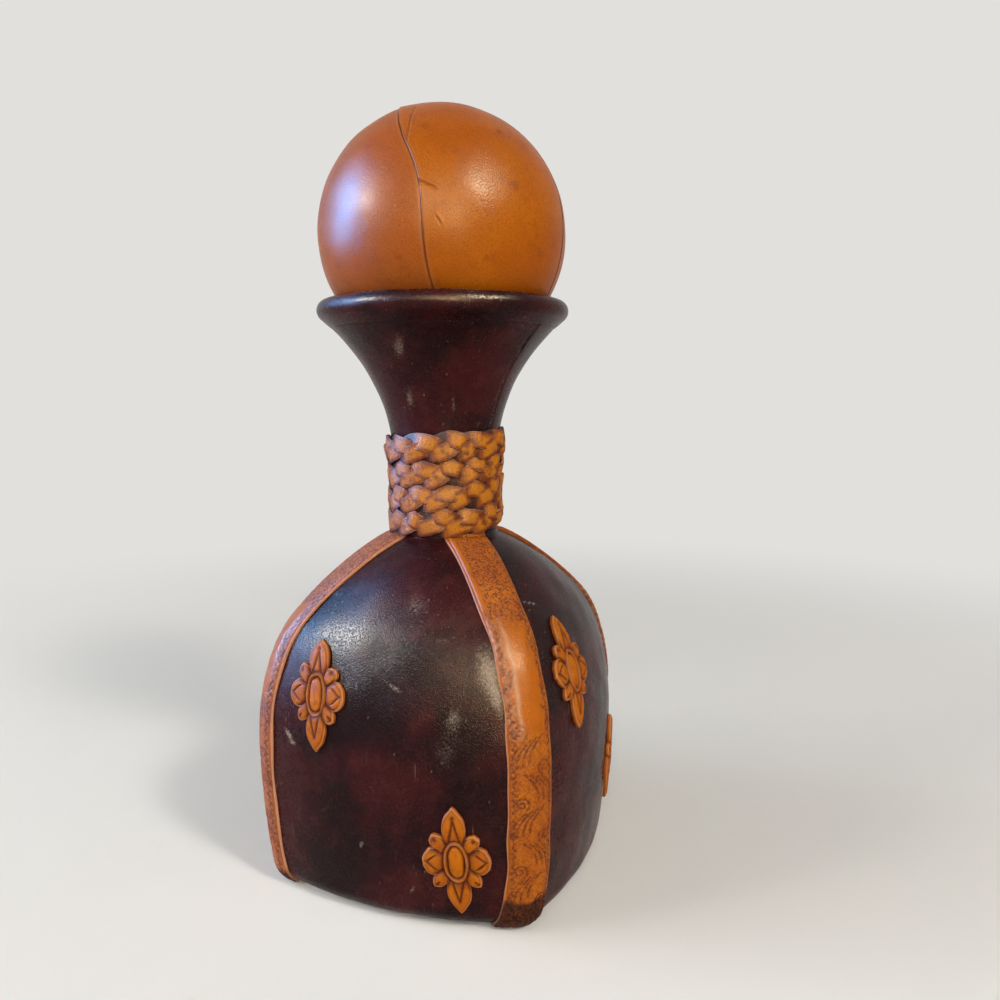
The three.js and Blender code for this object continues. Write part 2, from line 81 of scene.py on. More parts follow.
class Tree:     # a node tree, of a finish or of a shape
    def __init__(self, tree):
        self.tree = tree

    def add(self, kind, settings=None, sockets=None, output=0):
        node = self.tree.nodes.new(kind)
        for name, value in (settings or {}).items():
            setattr(node, name, value)
        for name, value in (sockets or {}).items():
            socket = node.inputs[name]
            if isinstance(value, Wire):
                self.tree.links.new(value.socket, socket)
            elif socket.type == "RGBA" and len(value) == 3:
                socket.default_value = (*value, 1)
            else:
                socket.default_value = value
        return Wire(self, node, output) if node.outputs else None

    def mix(self, share, first, second):
        return self.add("ShaderNodeMix", {"data_type": "RGBA"}, {0: share, 6: first, 7: second}, 2)

    def paint(self, look, ground, coats):   # coats of colour on a ground, each by its share
        colour = look[ground]
        for share, name in coats:
            colour = self.mix(share, colour, look[name])
        return colour

    def ease(self, value, low, high):   # 0 below low, 1 above high
        ends = {"Value": value, "From Min": low, "From Max": high}
        return self.add("ShaderNodeMapRange", {"interpolation_type": "SMOOTHSTEP"}, ends)

    def cloud(self, place, grain, detail=2.0, rough=0.5, twist=0.0):     # noise with lumps of a size in mm
        values = {"Vector": place, "Scale": 1 / (grain * mm)}
        values.update({"Detail": detail, "Roughness": rough, "Distortion": twist})
        return self.add("ShaderNodeTexNoise", None, values)

    def cells(self, place, grain, feature="F1"):
        values = {"Vector": place, "Scale": 1 / (grain * mm)}
        return self.add("ShaderNodeTexVoronoi", {"feature": feature}, values, "Distance")

    def pebbles(self, place, grain):    # 1 on top of a pebble
        return 1 - self.ease(self.cells(place, grain), 0.1, 0.6)

    def stretch(self, place, scale, turn=(0, 0, 0)):
        return self.add("ShaderNodeMapping", None, {"Vector": place, "Scale": scale, "Rotation": turn})

    def marks(self, *names):    # what the mesh says at each point
        return [self.add("ShaderNodeAttribute", {"attribute_name": name}, output="Fac") for name in names]


# Finishes

def makeFinish(name, build, look):
    finish = bpy.data.materials.new(name)
    finish.use_nodes = True
    finish.node_tree.nodes.clear()
    tree = Tree(finish.node_tree)
    shader = build(tree, tree.add("ShaderNodeTexCoord", output="Object"), look)
    tree.add("ShaderNodeOutputMaterial", None, {"Surface": shader})
    return finish


def surface(tree, look, colour, roughness, height, extra=None):
    bump = tree.add("ShaderNodeBump", None, {"Height": height, "Distance": look["relief"] * mm})
    values = {"Base Color": colour, "Roughness": roughness, "Normal": bump}
    values.update({"Specular IOR Level": look["gloss"], **(extra or {})})
    return tree.add("ShaderNodeBsdfPrincipled", None, values)


darkLook = {
    "deep": (0.0110, 0.0018, 0.0024), "wine": (0.050, 0.0058, 0.0062), "rust": (0.092, 0.016, 0.010),
    "film": (0.105, 0.058, 0.052), "scuff": (0.42, 0.325, 0.24), "relief": 0.09, "gloss": 0.075,
    "patch": 34, "mottle": 8, "pebble": 0.6, "fine": 0.45, "crease": 22, "creaseCell": 190,
    "dusty": 30, "dust": 1.0, "ragged": 0.9, "wear": 0.7,
    "scratch": 0.75, "scratched": 18, "scratchScale": (1, 1, 0.03), "scratchTurn": (0.7, -0.5, 0.4),
    "fleck": 2.6, "flecked": 9, "fleckScale": (1, 1, 0.5), "fleckTurn": (0.3, 0.5, 0.2),
}


def darkLeather(tree, place, look):
    mark, = tree.marks("scuff")
    patch = tree.ease(tree.cloud(place, look["patch"], 4, 0.6), 0.39, 0.62)
    mottle = tree.cloud(place, look["mottle"], 5, 0.62)
    grain = tree.pebbles(place, look["pebble"])
    fine = tree.cloud(place, look["fine"], 3, 0.7)
    wear = tree.cloud(place, look["wear"], 4, 0.7)
    warped = tree.cloud(place, look["crease"], 3).other("Color")
    crease = tree.cells(warped, look["creaseCell"], "DISTANCE_TO_EDGE")
    dusty = tree.ease(tree.cloud(place, look["dusty"], 4, 0.6), 0.42, 0.64)
    film = tree.ease(tree.cloud(place, look["dust"], 6, 0.75), 0.48, 0.66)
    film = film * (0.25 + dusty * 0.75) * (0.3 + grain * 0.7)
    scratch = tree.cloud(tree.stretch(place, look["scratchScale"], look["scratchTurn"]), look["scratch"])
    scratch = tree.ease(scratch, 0.69, 0.72) * tree.ease(tree.cloud(place, look["scratched"]), 0.5, 0.6)
    ragged = (tree.cloud(place, look["ragged"], 6, 0.75) - 0.5) * 1.3 + grain * 0.12
    # scuffs, which beside the near strap on the front panel are partly a painted sheen
    scuff = tree.ease(mark * 0.9 + ragged * tree.ease(mark, 0.02, 0.2), 0.2, 0.85)
    fleck = tree.cells(tree.stretch(place, look["fleckScale"], look["fleckTurn"]), look["fleck"])
    flecked = tree.ease(tree.cloud(place, look["flecked"], 4, 0.6), 0.5, 0.62)
    fleck = (1 - tree.ease(fleck, 0.06, 0.15)) * flecked
    worn = (scuff * (0.3 + wear * 0.65) + scratch * 0.22 + fleck * (0.3 + wear) * 0.3).atMost(1)
    colour = tree.paint(look, "deep", [
        (patch * 0.72, "wine"),
        (tree.ease(mottle, 0.54, 0.74) * patch * 0.5, "rust"),
        (film * 0.34, "film"),
        (worn, "scuff"),
    ])
    roughness = 0.21 + mottle * 0.12 + worn * 0.3 + film * 0.1
    height = grain * 0.5 + fine * 0.3 + tree.ease(crease, 0, 0.12) * 0.14 + mottle * 0.4 - worn * 0.2
    return surface(tree, look, colour, roughness, height)


strapLook = {
    "tan": (0.47, 0.128, 0.005), "rubbed": (0.43, 0.102, 0.002), "brown": (0.38, 0.088, 0.005),
    "antique": (0.105, 0.016, 0.004), "cut": (0.54, 0.29, 0.165), "foot": (0.022, 0.004, 0.003),
    "dull": (0.44, 0.165, 0.080), "relief": 0.12, "gloss": 0.06,
    "curl": 1.45, "tone": 11, "fine": 0.6, "pebble": 0.6,
}


def strapLeather(tree, place, look):
    groove, ground, rub, cut, foot, fadeAndSheen = tree.marks("groove", "ground", "rub", "cut", "foot", "fadeAndSheen")
    curls = 1 - tree.ease((tree.cloud(place, look["curl"], 1, 0.5, 0.5) - 0.5).size(), 0.03, 0.085)
    tone = tree.cloud(place, look["tone"], 5, 0.6)
    fine = tree.cloud(place, look["fine"], 4, 0.7)
    matting = ground * curls
    stained = (groove * (0.6 + fine * 0.5) + matting * 0.9).atMost(1) * (1 - rub)
    colour = tree.paint(look, "brown", [
        (tree.ease(tone, 0.35, 0.7), "tan"),
        (rub * 0.9, "rubbed"),
        # fading, which on the left strap also stands for a painted reflection
        (fadeAndSheen * (0.6 + fine * 0.6), "dull"),
        (stained * 0.88, "antique"),
        (tree.ease(fine, 0.5, 0.72) * 0.34 * (1 - rub * 0.6), "antique"),
        (foot * (0.99 - curls * 0.26), "foot"),
        # the cut mark holds the pale cut edges and also the painted highlight along the rubbed middle
        (cut * (0.5 + fine * 0.4), "cut"),
    ])
    roughness = 0.36 + fine * 0.16 + stained * 0.12 - rub * 0.12
    height = fine * 0.5 - matting * 0.7 + tree.cells(place, look["pebble"]) * 0.3
    return surface(tree, look, colour, roughness, height)


medallionLook = {
    "tan": (0.47, 0.132, 0.004), "brown": (0.40, 0.096, 0.004), "pink": (0.42, 0.17, 0.075),
    "antique": (0.070, 0.010, 0.004), "stain": (0.150, 0.024, 0.005), "cut": (0.46, 0.23, 0.12),
    "relief": 0.12, "gloss": 0.03, "tone": 7, "fine": 0.6, "dirt": 2.2, "pebble": 0.7,
}


def medallionLeather(tree, place, look):
    groove, rim, cut, shade = tree.marks("groove", "rim", "cut", "shade")
    tone = tree.cloud(place, look["tone"], 4, 0.6)
    fine = tree.cloud(place, look["fine"], 4, 0.7)
    dirt = tree.cloud(place, look["dirt"], 5, 0.7)
    colour = tree.paint(look, "brown", [
        (tree.ease(tone, 0.35, 0.66), "tan"),
        (tree.ease(fine, 0.5, 0.72) * 0.3, "brown"),
        (tree.ease(dirt, 0.48, 0.72) * 0.42, "stain"),
        # painted shade, in the stain colour: in the valleys and lines, round the boss and on the walls
        (shade * (0.15 + dirt * 0.6), "stain"),
        (rim * tree.ease(dirt, 0.34, 0.62) * (0.3 + fine * 0.7), "pink"),
        (groove * (0.45 + dirt * 0.9).atMost(1), "antique"),
        (cut * (0.15 + dirt * 0.75), "cut"),
    ])
    height = fine * 0.6 + tree.cells(place, look["pebble"]) * 0.4
    return surface(tree, look, colour, 0.42 + fine * 0.18 + groove * 0.16, height)


plaitLook = {
    "amber": (0.46, 0.150, 0.003), "tan": (0.30, 0.070, 0.006), "brown": (0.13, 0.023, 0.005),
    "edge": (0.50, 0.27, 0.15), "dark": (0.022, 0.004, 0.003),
    "relief": 0.2, "gloss": 0.07, "tone": 5.5, "fine": 0.6, "pebble": 0.85,
}


def plaitLeather(tree, place, look):
    across, under = tree.marks("across", "under")
    across = across.size()
    tone = tree.cloud(place, look["tone"], 5, 0.65)
    fine = tree.cloud(place, look["fine"], 4, 0.7)
    grain = tree.pebbles(place, look["pebble"])
    crown = (1 - tree.ease(across, 0.4, 0.8)) * (1 - tree.ease(under, 0.12, 0.42))
    frayed = tree.ease(tone, 0.45, 0.57) * (0.3 + fine * 0.7)
    colour = tree.paint(look, "brown", [
        (tree.ease(tone, 0.36, 0.6), "tan"),
        # painted highlight: lighter in amber on each thong's crown where it lies on top
        (crown * tree.ease(tone, 0.3, 0.5), "amber"),
        (tree.ease(fine, 0.46, 0.68) * 0.5, "brown"),
        # painted shade: browner towards each thong's edges
        (tree.ease(across, 0.74, 0.90) * 0.85, "brown"),
        (tree.ease(across, 0.90, 0.96) * frayed, "edge"),
        # painted shade: darker where a thong goes under the others
        (tree.ease(under, 0.42, 0.82) * 0.95, "dark"),
    ])
    return surface(tree, look, colour, 0.40 + fine * 0.2, fine * 0.5 + grain * 0.4 + tone)


ballLook = {
    "tan": (0.36, 0.082, 0.002), "amber": (0.42, 0.108, 0.002), "brown": (0.20, 0.040, 0.004),
    "rose": (0.32, 0.078, 0.013), "pore": (0.12, 0.022, 0.004), "seam": (0.095, 0.020, 0.010),
    "ridge": (0.48, 0.17, 0.05), "relief": 0.075, "gloss": 0.045,
    "tone": 26, "blotch": 7, "fine": 0.62, "pebble": 0.55, "poreGap": 1.1, "porous": 4,
}


def ballLeather(tree, place, look):
    seam, crest, stain, aged = tree.marks("seam", "crest", "stain", "aged")
    tone = tree.cloud(place, look["tone"], 5, 0.58)
    blotch = tree.cloud(place, look["blotch"], 5, 0.62)
    fine = tree.cloud(place, look["fine"], 3, 0.65)
    grain = tree.pebbles(place, look["pebble"])
    pores = 1 - tree.ease(tree.cells(place, look["poreGap"]), 0.12, 0.26)
    pores = pores * tree.ease(tree.cloud(place, look["porous"], 3), 0.44, 0.6)
    colour = tree.paint(look, "tan", [
        (tree.ease(tone, 0.36, 0.64), "amber"),
        (aged, "rose"),
        (tree.ease(blotch, 0.52, 0.76) * 0.55, "brown"),
        (tree.ease(fine, 0.46, 0.68) * 0.5 + (1 - grain) * 0.15, "brown"),
        (pores * 0.5, "pore"),
        (stain * tree.ease(blotch, 0.3, 0.55), "pore"),
        (crest * 0.4, "ridge"),
        (seam * (0.5 + blotch * 0.8), "seam"),
    ])
    height = grain * 0.45 + fine * 0.3 - pores * 0.5 + blotch * 0.8
    return surface(tree, look, colour, 0.24 + fine * 0.1 + blotch * 0.08, height)


baseLook = {"hide": (0.045, 0.017, 0.012), "worn": (0.10, 0.045, 0.03),
            "relief": 0.12, "gloss": 0.25, "fibre": 0.9, "wear": 16}


def baseLeather(tree, place, look):
    fibre = tree.cloud(place, look["fibre"], 6, 0.75)
    wear = tree.ease(tree.cloud(place, look["wear"], 5, 0.65), 0.42, 0.66)
    colour = tree.paint(look, "hide", [(wear * (0.4 + tree.ease(fibre, 0.35, 0.65) * 0.6), "worn")])
    return surface(tree, look, colour, 0.72 + fibre * 0.15, fibre)


corkLook = {"pale": (0.50, 0.30, 0.145), "tan": (0.36, 0.19, 0.08), "pit": (0.07, 0.03, 0.015),
            "relief": 0.35, "gloss": 0.2, "fleck": 2.4, "crumb": 1.6,
            "slot": 5.5, "slotScale": (1, 1, 0.45), "pitted": 6}


def corkBark(tree, place, look):
    fleck = tree.cloud(place, look["fleck"], 5, 0.65)
    crumbs = tree.cells(place, look["crumb"])
    slots = tree.cells(tree.stretch(place, look["slotScale"]), look["slot"])
    pits = (1 - tree.ease(slots, 0.10, 0.24)) * tree.ease(tree.cloud(place, look["pitted"]), 0.42, 0.58)
    colour = tree.paint(look, "tan", [(tree.ease(fleck, 0.36, 0.64), "pale"), (pits * 0.9, "pit")])
    return surface(tree, look, colour, 0.82 + fleck * 0.1, crumbs * 0.4 + fleck * 0.5 - pits * 1.6)


woodLook = {"pale": (0.50, 0.32, 0.16), "late": (0.30, 0.155, 0.065), "relief": 0.06, "gloss": 0.3,
            "ring": 3.4, "pith": 30, "warp": 30, "warpReach": (0.012, 0.012, 0.03),
            "fibre": 0.6, "fibreScale": (1, 1, 0.06)}


def turnedWood(tree, place, look):
    warp = {0: tree.cloud(place, look["warp"], 3).other("Color"), 1: look["warpReach"], 2: place}
    warped = tree.add("ShaderNodeVectorMath", {"operation": "MULTIPLY_ADD"}, warp)
    across = tree.add("ShaderNodeSeparateXYZ", None, {"Vector": warped}, "X")
    radius = ((across - look["pith"] * mm) ** 2 + across.other("Y") ** 2) ** 0.5
    ring = (radius * (fullTurn / (look["ring"] * mm))).sine() * 0.5 + 0.5
    fibre = tree.cloud(tree.stretch(place, look["fibreScale"]), look["fibre"], 5, 0.65)
    colour = tree.paint(look, "pale", [(ring * 0.6 + fibre * 0.35, "late")])
    return surface(tree, look, colour, 0.55 + fibre * 0.2, fibre + ring * 0.3)


glassLook = {"tint": (0.80, 0.92, 0.85), "roughness": 0.035, "index": 1.5,
             "relief": 0.5, "gloss": 0.5, "wave": 22, "seed": 9}


def bottleGlass(tree, place, look):
    waves = tree.cloud(place, look["wave"])
    seeds = 1 - tree.ease(tree.cells(place, look["seed"]), 0.03, 0.06)
    clear = {"Transmission Weight": 1.0, "IOR": look["index"]}
    return surface(tree, look, look["tint"], look["roughness"] + seeds * 0.15, waves + seeds * 0.1, clear)


# by the record's slot names
finishes = {name: makeFinish(name, build, look) for name, build, look in (
    ("dark_leather", darkLeather, darkLook),
    ("strap_leather", strapLeather, strapLook),
    ("medallion_leather", medallionLeather, medallionLook),
    ("plait_leather", plaitLeather, plaitLook),
    ("ball_leather", ballLeather, ballLook),
    ("base_leather", baseLeather, baseLook),
    ("cork", corkBark, corkLook),
    ("turned_wood", turnedWood, woodLook),
    ("bottle_glass", bottleGlass, glassLook),
)}
print("finishes made")


# Mesh work

sharpAngle = 58


def lerp(start, end, share):
    return start + (end - start) * share


def smooth(share):
    share = np.clip(share, 0, 1)
    return share * share * (3 - 2 * share)


def near(distance, width):      # 1 on a line, fading beside it
    return np.exp(-(distance / width) ** 2)


def wrapped(angle):     # from half a turn back to half a turn on
    return (angle + math.pi) % fullTurn - math.pi


def evenly(count, kept):    # places of a few columns out of many
    return np.linspace(0, count - 1, kept).round().astype(int)


def turned(radius, height, angle):
    return np.stack([radius * np.cos(angle), radius * np.sin(angle), height + 0 * angle], -1) * mm


def ripple(points, length, seed):   # slow waves of about that length, from -1 to 1 or so
    draw = np.random.default_rng(seed)
    total = np.zeros(points.shape[:-1])
    waves = 7
    for _ in range(waves):
        way = draw.normal(size=points.shape[-1])
        way *= draw.uniform(0.6, 1.5) * fullTurn / (length * np.linalg.norm(way))
        total += np.sin(points @ way + draw.uniform(0, fullTurn))
    return total / math.sqrt(waves)


def quads(grid):
    corners = [grid[:-1, :-1], grid[:-1, 1:], grid[1:, 1:], grid[1:, :-1]]
    return np.stack(corners, -1).reshape(-1, 4).tolist()


def dressPiece(name, mesh, slot, carrier, node):
    mesh.polygons.foreach_set("use_smooth", [True] * len(mesh.polygons))
    mesh.set_sharp_from_angle(angle=sharpAngle * degree)
    mesh.materials.clear()
    mesh.materials.append(finishes[slot])
    piece = bpy.data.objects.new(name, mesh)
    scene.collection.objects.link(piece)
    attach(piece, carrier)
    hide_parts(node)


def addPiece(name, points, faces, slot, carrier, node, marks):
    mesh = bpy.data.meshes.new(name)
    mesh.from_pydata(points.tolist(), [], faces)
    for mark, values in (marks or {}).items():
        spread = np.zeros(len(points), np.float32)      # stays 0 on the hidden points, which come last
        spread[:values.size] = values.ravel()
        mesh.attributes.new(mark, "FLOAT", "POINT").data.foreach_set("value", spread)
    work = bmesh.new()
    work.from_mesh(mesh)
    bmesh.ops.recalc_face_normals(work, faces=work.faces)
    work.to_mesh(mesh)
    work.free()
    dressPiece(name, mesh, slot, carrier, node)


def addSheet(name, skin, back, slot, carrier, node, marks):     # a skin over a back of fewer columns
    rows, columns = skin.shape[:2]
    kept = back.shape[1]
    top = np.arange(rows * columns).reshape(rows, columns)
    under = rows * columns + np.arange(rows * kept).reshape(rows, kept)
    faces = quads(top) + quads(under[:, ::-1])
    faces += quads(np.stack([under[:, 0], top[:, 0]], 1)) + quads(np.stack([top[:, -1], under[:, -1]], 1))
    faces.append([*top[0][::-1].tolist(), *under[0].tolist()])
    faces.append([*top[-1].tolist(), *under[-1][::-1].tolist()])
    points = np.concatenate([skin.reshape(-1, 3), back.reshape(-1, 3)])
    addPiece(name, points, faces, slot, carrier, node, marks)


def addRings(name, rings, loop, slot, carrier, node, marks=None):   # the end rings are joined or else filled
    rings = np.asarray(rings)
    grid = np.arange(rings[..., 0].size).reshape(rings.shape[:2])
    grid = np.concatenate([grid, grid[:, :1]], 1)
    if loop:
        faces = quads(np.concatenate([grid, grid[:1]]))
    else:
        faces = quads(grid) + [grid[0, -2::-1].tolist(), grid[-1, :-1].tolist()]
    addPiece(name, rings.reshape(-1, 3), faces, slot, carrier, node, marks)


# The leather's outside, from under the base to the lip, as in the frame

bodyForm = {
    "halfWidth": 65.6, "footHalfWidth": 61.2, "widestHeight": 57.9, "shoulderHeight": 80,
    "faceRadius": 145, "cornerRadius": 11.4, "squareRise": 32, "squareFade": 1.4,
    "bottomRound": 8, "baseProud": 0.6, "turnUnder": 8,
    "neckRadius": 20.8, "neckFillet": 2.5, "neckLength": 26, "flareRise": 60.5, "mouthRadius": 49.6,
    "glass": 4, "leather": 1.6, "bond": 0.3, "seam": 0.4,
}
body = SimpleNamespace(**bodyForm)
edgeHeight = body.baseProud + body.bottomRound
profileSteps = {"under": 8, "edge": 40, "side": 40, "shoulder": 90, "fillet": 12, "tube": 14, "flare": 60}
faceNames = ["right", "back", "left", "front"]


def steps(stretch, start, end):
    return np.linspace(start, end, profileSteps[stretch], endpoint=False)


# a stretch has rows of half width, height, lean, face radius and corner radius
def traceEdge():
    drop = body.halfWidth - body.footHalfWidth
    rise = body.widestHeight - body.baseProud
    sideRadius = (drop ** 2 + rise ** 2) / (2 * drop)
    sideCentre = body.halfWidth - sideRadius
    edgeAngle = math.asin((body.widestHeight - edgeHeight) / (sideRadius - body.bottomRound))
    edgeCentre = sideCentre + (sideRadius - body.bottomRound) * math.cos(edgeAngle)
    turn = steps("edge", -90 * degree, -edgeAngle)
    inset = body.bottomRound * (math.cos(edgeAngle) - np.cos(turn))
    edge = [edgeCentre + body.bottomRound * np.cos(turn), edgeHeight + body.bottomRound * np.sin(turn), turn,
            body.faceRadius - inset, body.cornerRadius - inset]
    flat = steps("under", edgeCentre - body.turnUnder, edgeCentre)
    under = [flat, *(np.full(len(flat), row[0]) for row in edge[1:])]
    height = steps("side", edgeHeight - body.bottomRound * math.sin(edgeAngle), body.widestHeight)
    lean = -np.arcsin((body.widestHeight - height) / sideRadius)
    side = [sideCentre + sideRadius * np.cos(lean), height, lean,
            np.full(len(lean), body.faceRadius), np.full(len(lean), body.cornerRadius)]
    return under, edge, side


def ellipse(turn):
    lean = np.arctan2(np.sin(turn) / body.shoulderHeight, np.cos(turn) / body.halfWidth)
    return body.halfWidth * np.cos(turn), body.widestHeight + body.shoulderHeight * np.sin(turn), lean


def traceShoulder():
    low, high = 0.0, 90 * degree
    for _ in range(50):     # halving in on where the fillet meets the shoulder
        middle = (low + high) / 2
        halfWidth, _, lean = ellipse(middle)
        if halfWidth + body.neckFillet * math.cos(lean) > body.neckRadius + body.neckFillet:
            low = middle
        else:
            high = middle
    _, topHeight, topLean = ellipse(high)
    neckFoot = topHeight + body.neckFillet * math.sin(topLean)
    halfWidth, height, lean = ellipse(steps("shoulder", 0, high))
    squareTop = body.widestHeight + body.squareRise
    climbed = np.clip((height - squareTop) / (neckFoot - squareTop), 0, 1)
    square = 1 - smooth(climbed ** body.squareFade)
    face = 1 / lerp(1 / halfWidth, 1 / body.faceRadius, square)
    shoulder = [halfWidth, height, lean, face, lerp(halfWidth, body.cornerRadius, square)]
    turn = steps("fillet", topLean, 0)
    radius = body.neckRadius + body.neckFillet * (1 - np.cos(turn))
    fillet = [radius, neckFoot - body.neckFillet * np.sin(turn), turn, radius, radius]
    return shoulder, fillet, float(neckFoot)


def shapeNeck(foot):
    flareStart = foot + body.neckLength
    depth = body.leather + body.bond + body.glass / 2
    run = body.mouthRadius - body.neckRadius
    middle = (run ** 2 + body.flareRise ** 2) / (2 * run)
    return SimpleNamespace(
        foot=foot, flareStart=flareStart, lipHeight=flareStart + body.flareRise, lipDepth=depth,
        lipRadius=body.mouthRadius - depth, flareRadius=middle - depth,
        flareCentre=body.neckRadius + middle - depth, flareAngle=math.atan2(body.flareRise, middle - run))


def flarePoint(angle, depth):
    reach = neck.flareRadius + depth
    return np.stack([neck.flareCentre - reach * np.cos(angle), neck.flareStart + reach * np.sin(angle)], -1)


def lipPoint(turn, radius):
    turn = turn - neck.flareAngle
    return np.stack([neck.lipRadius + radius * np.cos(turn), neck.lipHeight + radius * np.sin(turn)], -1)


under, edge, side = traceEdge()
shoulder, fillet, neckFoot = traceShoulder()
neck = shapeNeck(neckFoot)
tubeHeight = steps("tube", neck.foot, neck.flareStart)
tubeWide = np.full(len(tubeHeight), body.neckRadius)
tube = [tubeWide, tubeHeight, tubeWide * 0, tubeWide, tubeWide]
flareTurn = np.linspace(0, neck.flareAngle, profileSteps["flare"])
flareWide, flareHeight = flarePoint(flareTurn, 0).T
flare = [flareWide, flareHeight, -flareTurn, flareWide, flareWide]
profile = np.concatenate([np.array(part) for part in (under, edge, side, shoulder, fillet, tube, flare)], 1)
profileLength = np.concatenate([[0], np.cumsum(np.hypot(*np.diff(profile[:2], axis=1)))])
starts = np.cumsum([0, *profileSteps.values()])
bodyPart, neckPart = slice(starts[1], starts[4]), slice(starts[5], None)
edgeLength, filletLength, tubeLength, flareLength = profileLength[starts[[1, 4, 5, 6]]]


def lengthAt(height, part):
    return float(np.interp(height, profile[1][part], profileLength[part]))


def stationsAt(lengths):
    halfWidth, height, lean, face, corner = (np.interp(lengths, profileLength, row) for row in profile)
    bulge = face - halfWidth
    centre = (np.sqrt(np.maximum(2 * (face - corner) ** 2 - bulge ** 2, 0)) - bulge) / 2
    faceAngle = np.arctan2(centre, centre + bulge)
    half = corner * (45 * degree - faceAngle) + face * faceAngle
    return SimpleNamespace(halfWidth=halfWidth, height=height, lean=lean, face=face, corner=corner,
                           centre=centre, faceAngle=faceAngle, half=half)


def onBody(at, across, offset, face):   # across is measured round the section from the middle of the face
    flat = at.face * at.faceAngle
    past = np.maximum(np.abs(across) - flat, 0)
    angle = np.sign(across) * (np.minimum(np.abs(across), flat) / at.face + past / at.corner)
    rounded = past > 0
    radius = np.where(rounded, at.corner, at.face) + offset * np.cos(at.lean)
    x = np.where(rounded, at.centre, at.halfWidth - at.face) + radius * np.cos(angle)
    y = np.where(rounded, np.sign(across) * at.centre, 0) + radius * np.sin(angle)
    z = at.height + offset * np.sin(at.lean) + 0 * x
    cosine, sine = math.cos(face * 90 * degree), math.sin(face * 90 * degree)
    return np.stack([x * cosine - y * sine, x * sine + y * cosine, z], -1) * mm


def roundBody(at, columns, offset):     # rings over the four faces
    share = np.linspace(-1, 1, columns, endpoint=False)
    return np.concatenate([onBody(at, share * at.half, offset, face) for face in range(4)], 1)


# Glass bottle inside the leather

glassForm = {"rows": 120, "lipRows": 14, "columns": 40}


def makeGlass(form):
    outside = -(body.leather + body.bond)
    at = stationsAt(np.linspace(edgeLength, profileLength[-1], form["rows"])[:, None])
    outer, inner = (roundBody(at, form["columns"], offset) for offset in (outside, outside - body.glass))
    lip = lipPoint(np.linspace(0, math.pi, form["lipRows"] + 2)[1:-1], body.glass / 2)
    angle = np.arange(4 * form["columns"]) / form["columns"] * 90 * degree - 45 * degree
    rings = np.concatenate([outer, turned(lip[:, :1], lip[:, 1:], angle), inner[::-1]])
    addRings("glass_shell", rings, False, "bottle_glass", "bottle", "glass_bottle")


makeGlass(glassForm)


# Dark panels, one on each face, with the scuffs of long use and a painted sheen beside the near strap:
# across, height, length, width, lean and strength

panelForm = {"rows": 190, "columns": 128, "kept": 13, "wave": 17, "waveDepth": 0.11, "waveStart": 30}
panelScuffsAndSheen = {
    "front": [
        (-39.4, 64.6, 4.0, 1.0, -38, 1.0), (-37.2, 61.8, 2.6, 0.7, -10, 0.8), (28, 79, 6, 3.0, 100, 0.46),
        (25.5, 68, 12, 5.0, 84, 0.3), (5.5, 87.7, 4.5, 0.6, -26, 0.85), (-28, 115, 6, 3.0, 20, 0.28),
        (8, 114, 9, 5.0, -50, 0.36), (-7, 29.4, 2.6, 0.6, 70, 0.9), (11.8, 14.4, 3.5, 0.6, 60, 0.6),
        # the first two strokes here, beside the near strap, are partly wear and partly a painted sheen
        (38.6, 94, 15, 4.2, 113, 0.6), (42.6, 85, 8, 2.2, 112, 0.4), (-22, 40, 5, 0.5, 35, 0.4),
        (20, 104, 7, 2.2, -20, 0.3), (-2, 52, 6, 0.4, 120, 0.35), (-14, 78, 4, 0.4, 60, 0.35),
    ],
    "right": [
        (-25.4, 112.7, 6, 0.5, -22, 0.85), (-29, 110.8, 3, 0.4, -16, 0.5), (-20.8, 26, 5, 1.2, 70, 0.35),
        (-10, 96, 8, 2.4, 30, 0.25), (5, 20, 6, 0.6, 15, 0.5), (-36, 44, 5, 0.5, 75, 0.45),
        (18, 70, 7, 2.2, 80, 0.3),
    ],
    "back": [
        (20, 84, 9, 2.4, 20, 0.3), (-15, 60, 6, 0.6, 65, 0.6), (-30, 20, 5, 0.6, -20, 0.6),
        (0, 110, 10, 3.2, 0, 0.25), (32, 40, 8, 2.6, 80, 0.3), (6, 34, 4, 0.5, -40, 0.5),
    ],
    "left": [
        (-18, 66, 10, 2.6, 75, 0.3), (30, 88, 6, 0.6, -30, 0.6), (12, 24, 5, 0.6, 10, 0.5),
        (-34, 104, 8, 2.4, 20, 0.25), (0, 50, 5, 0.5, 110, 0.45), (22, 112, 8, 3.4, -10, 0.25),
    ],
}


def scuffed(across, along, strokes, part):
    total = np.zeros(np.broadcast(across, along).shape)
    for x, height, length, width, lean, strength in strokes:
        turn = lean * degree
        right, up = across - x, along - lengthAt(height, part)
        run = (right * math.cos(turn) + up * math.sin(turn)) / length
        off = (up * math.cos(turn) - right * math.sin(turn)) / width
        total += strength * np.exp(-run ** 2 * 2 - off ** 2)
    return np.clip(total, 0, 1)


def makePanel(face, form):
    name = faceNames[face]
    lengths = np.linspace(0, tubeLength, form["rows"])[:, None]
    at = stationsAt(lengths)
    across = np.linspace(-1, 1, form["columns"]) * (at.half - body.seam / 2)
    waves = ripple(onBody(at, across, 0, face) / mm, form["wave"], face)
    skin = onBody(at, across, form["waveDepth"] * waves * smooth(lengths / form["waveStart"]), face)
    back = onBody(at, across[:, evenly(form["columns"], form["kept"])], -body.leather, face)
    marks = {"scuff": scuffed(across, lengths, panelScuffsAndSheen[name], bodyPart)}
    addSheet(f"panel_{name}", skin, back, "dark_leather", "bottle", f"body_panel_{name}", marks)


for face in range(4):
    makePanel(face, panelForm)
print("glass and dark panels made")


# Base pad

baseForm = {"columns": 24, "inset": 0.3, "round": 0.5, "soften": 0.15}


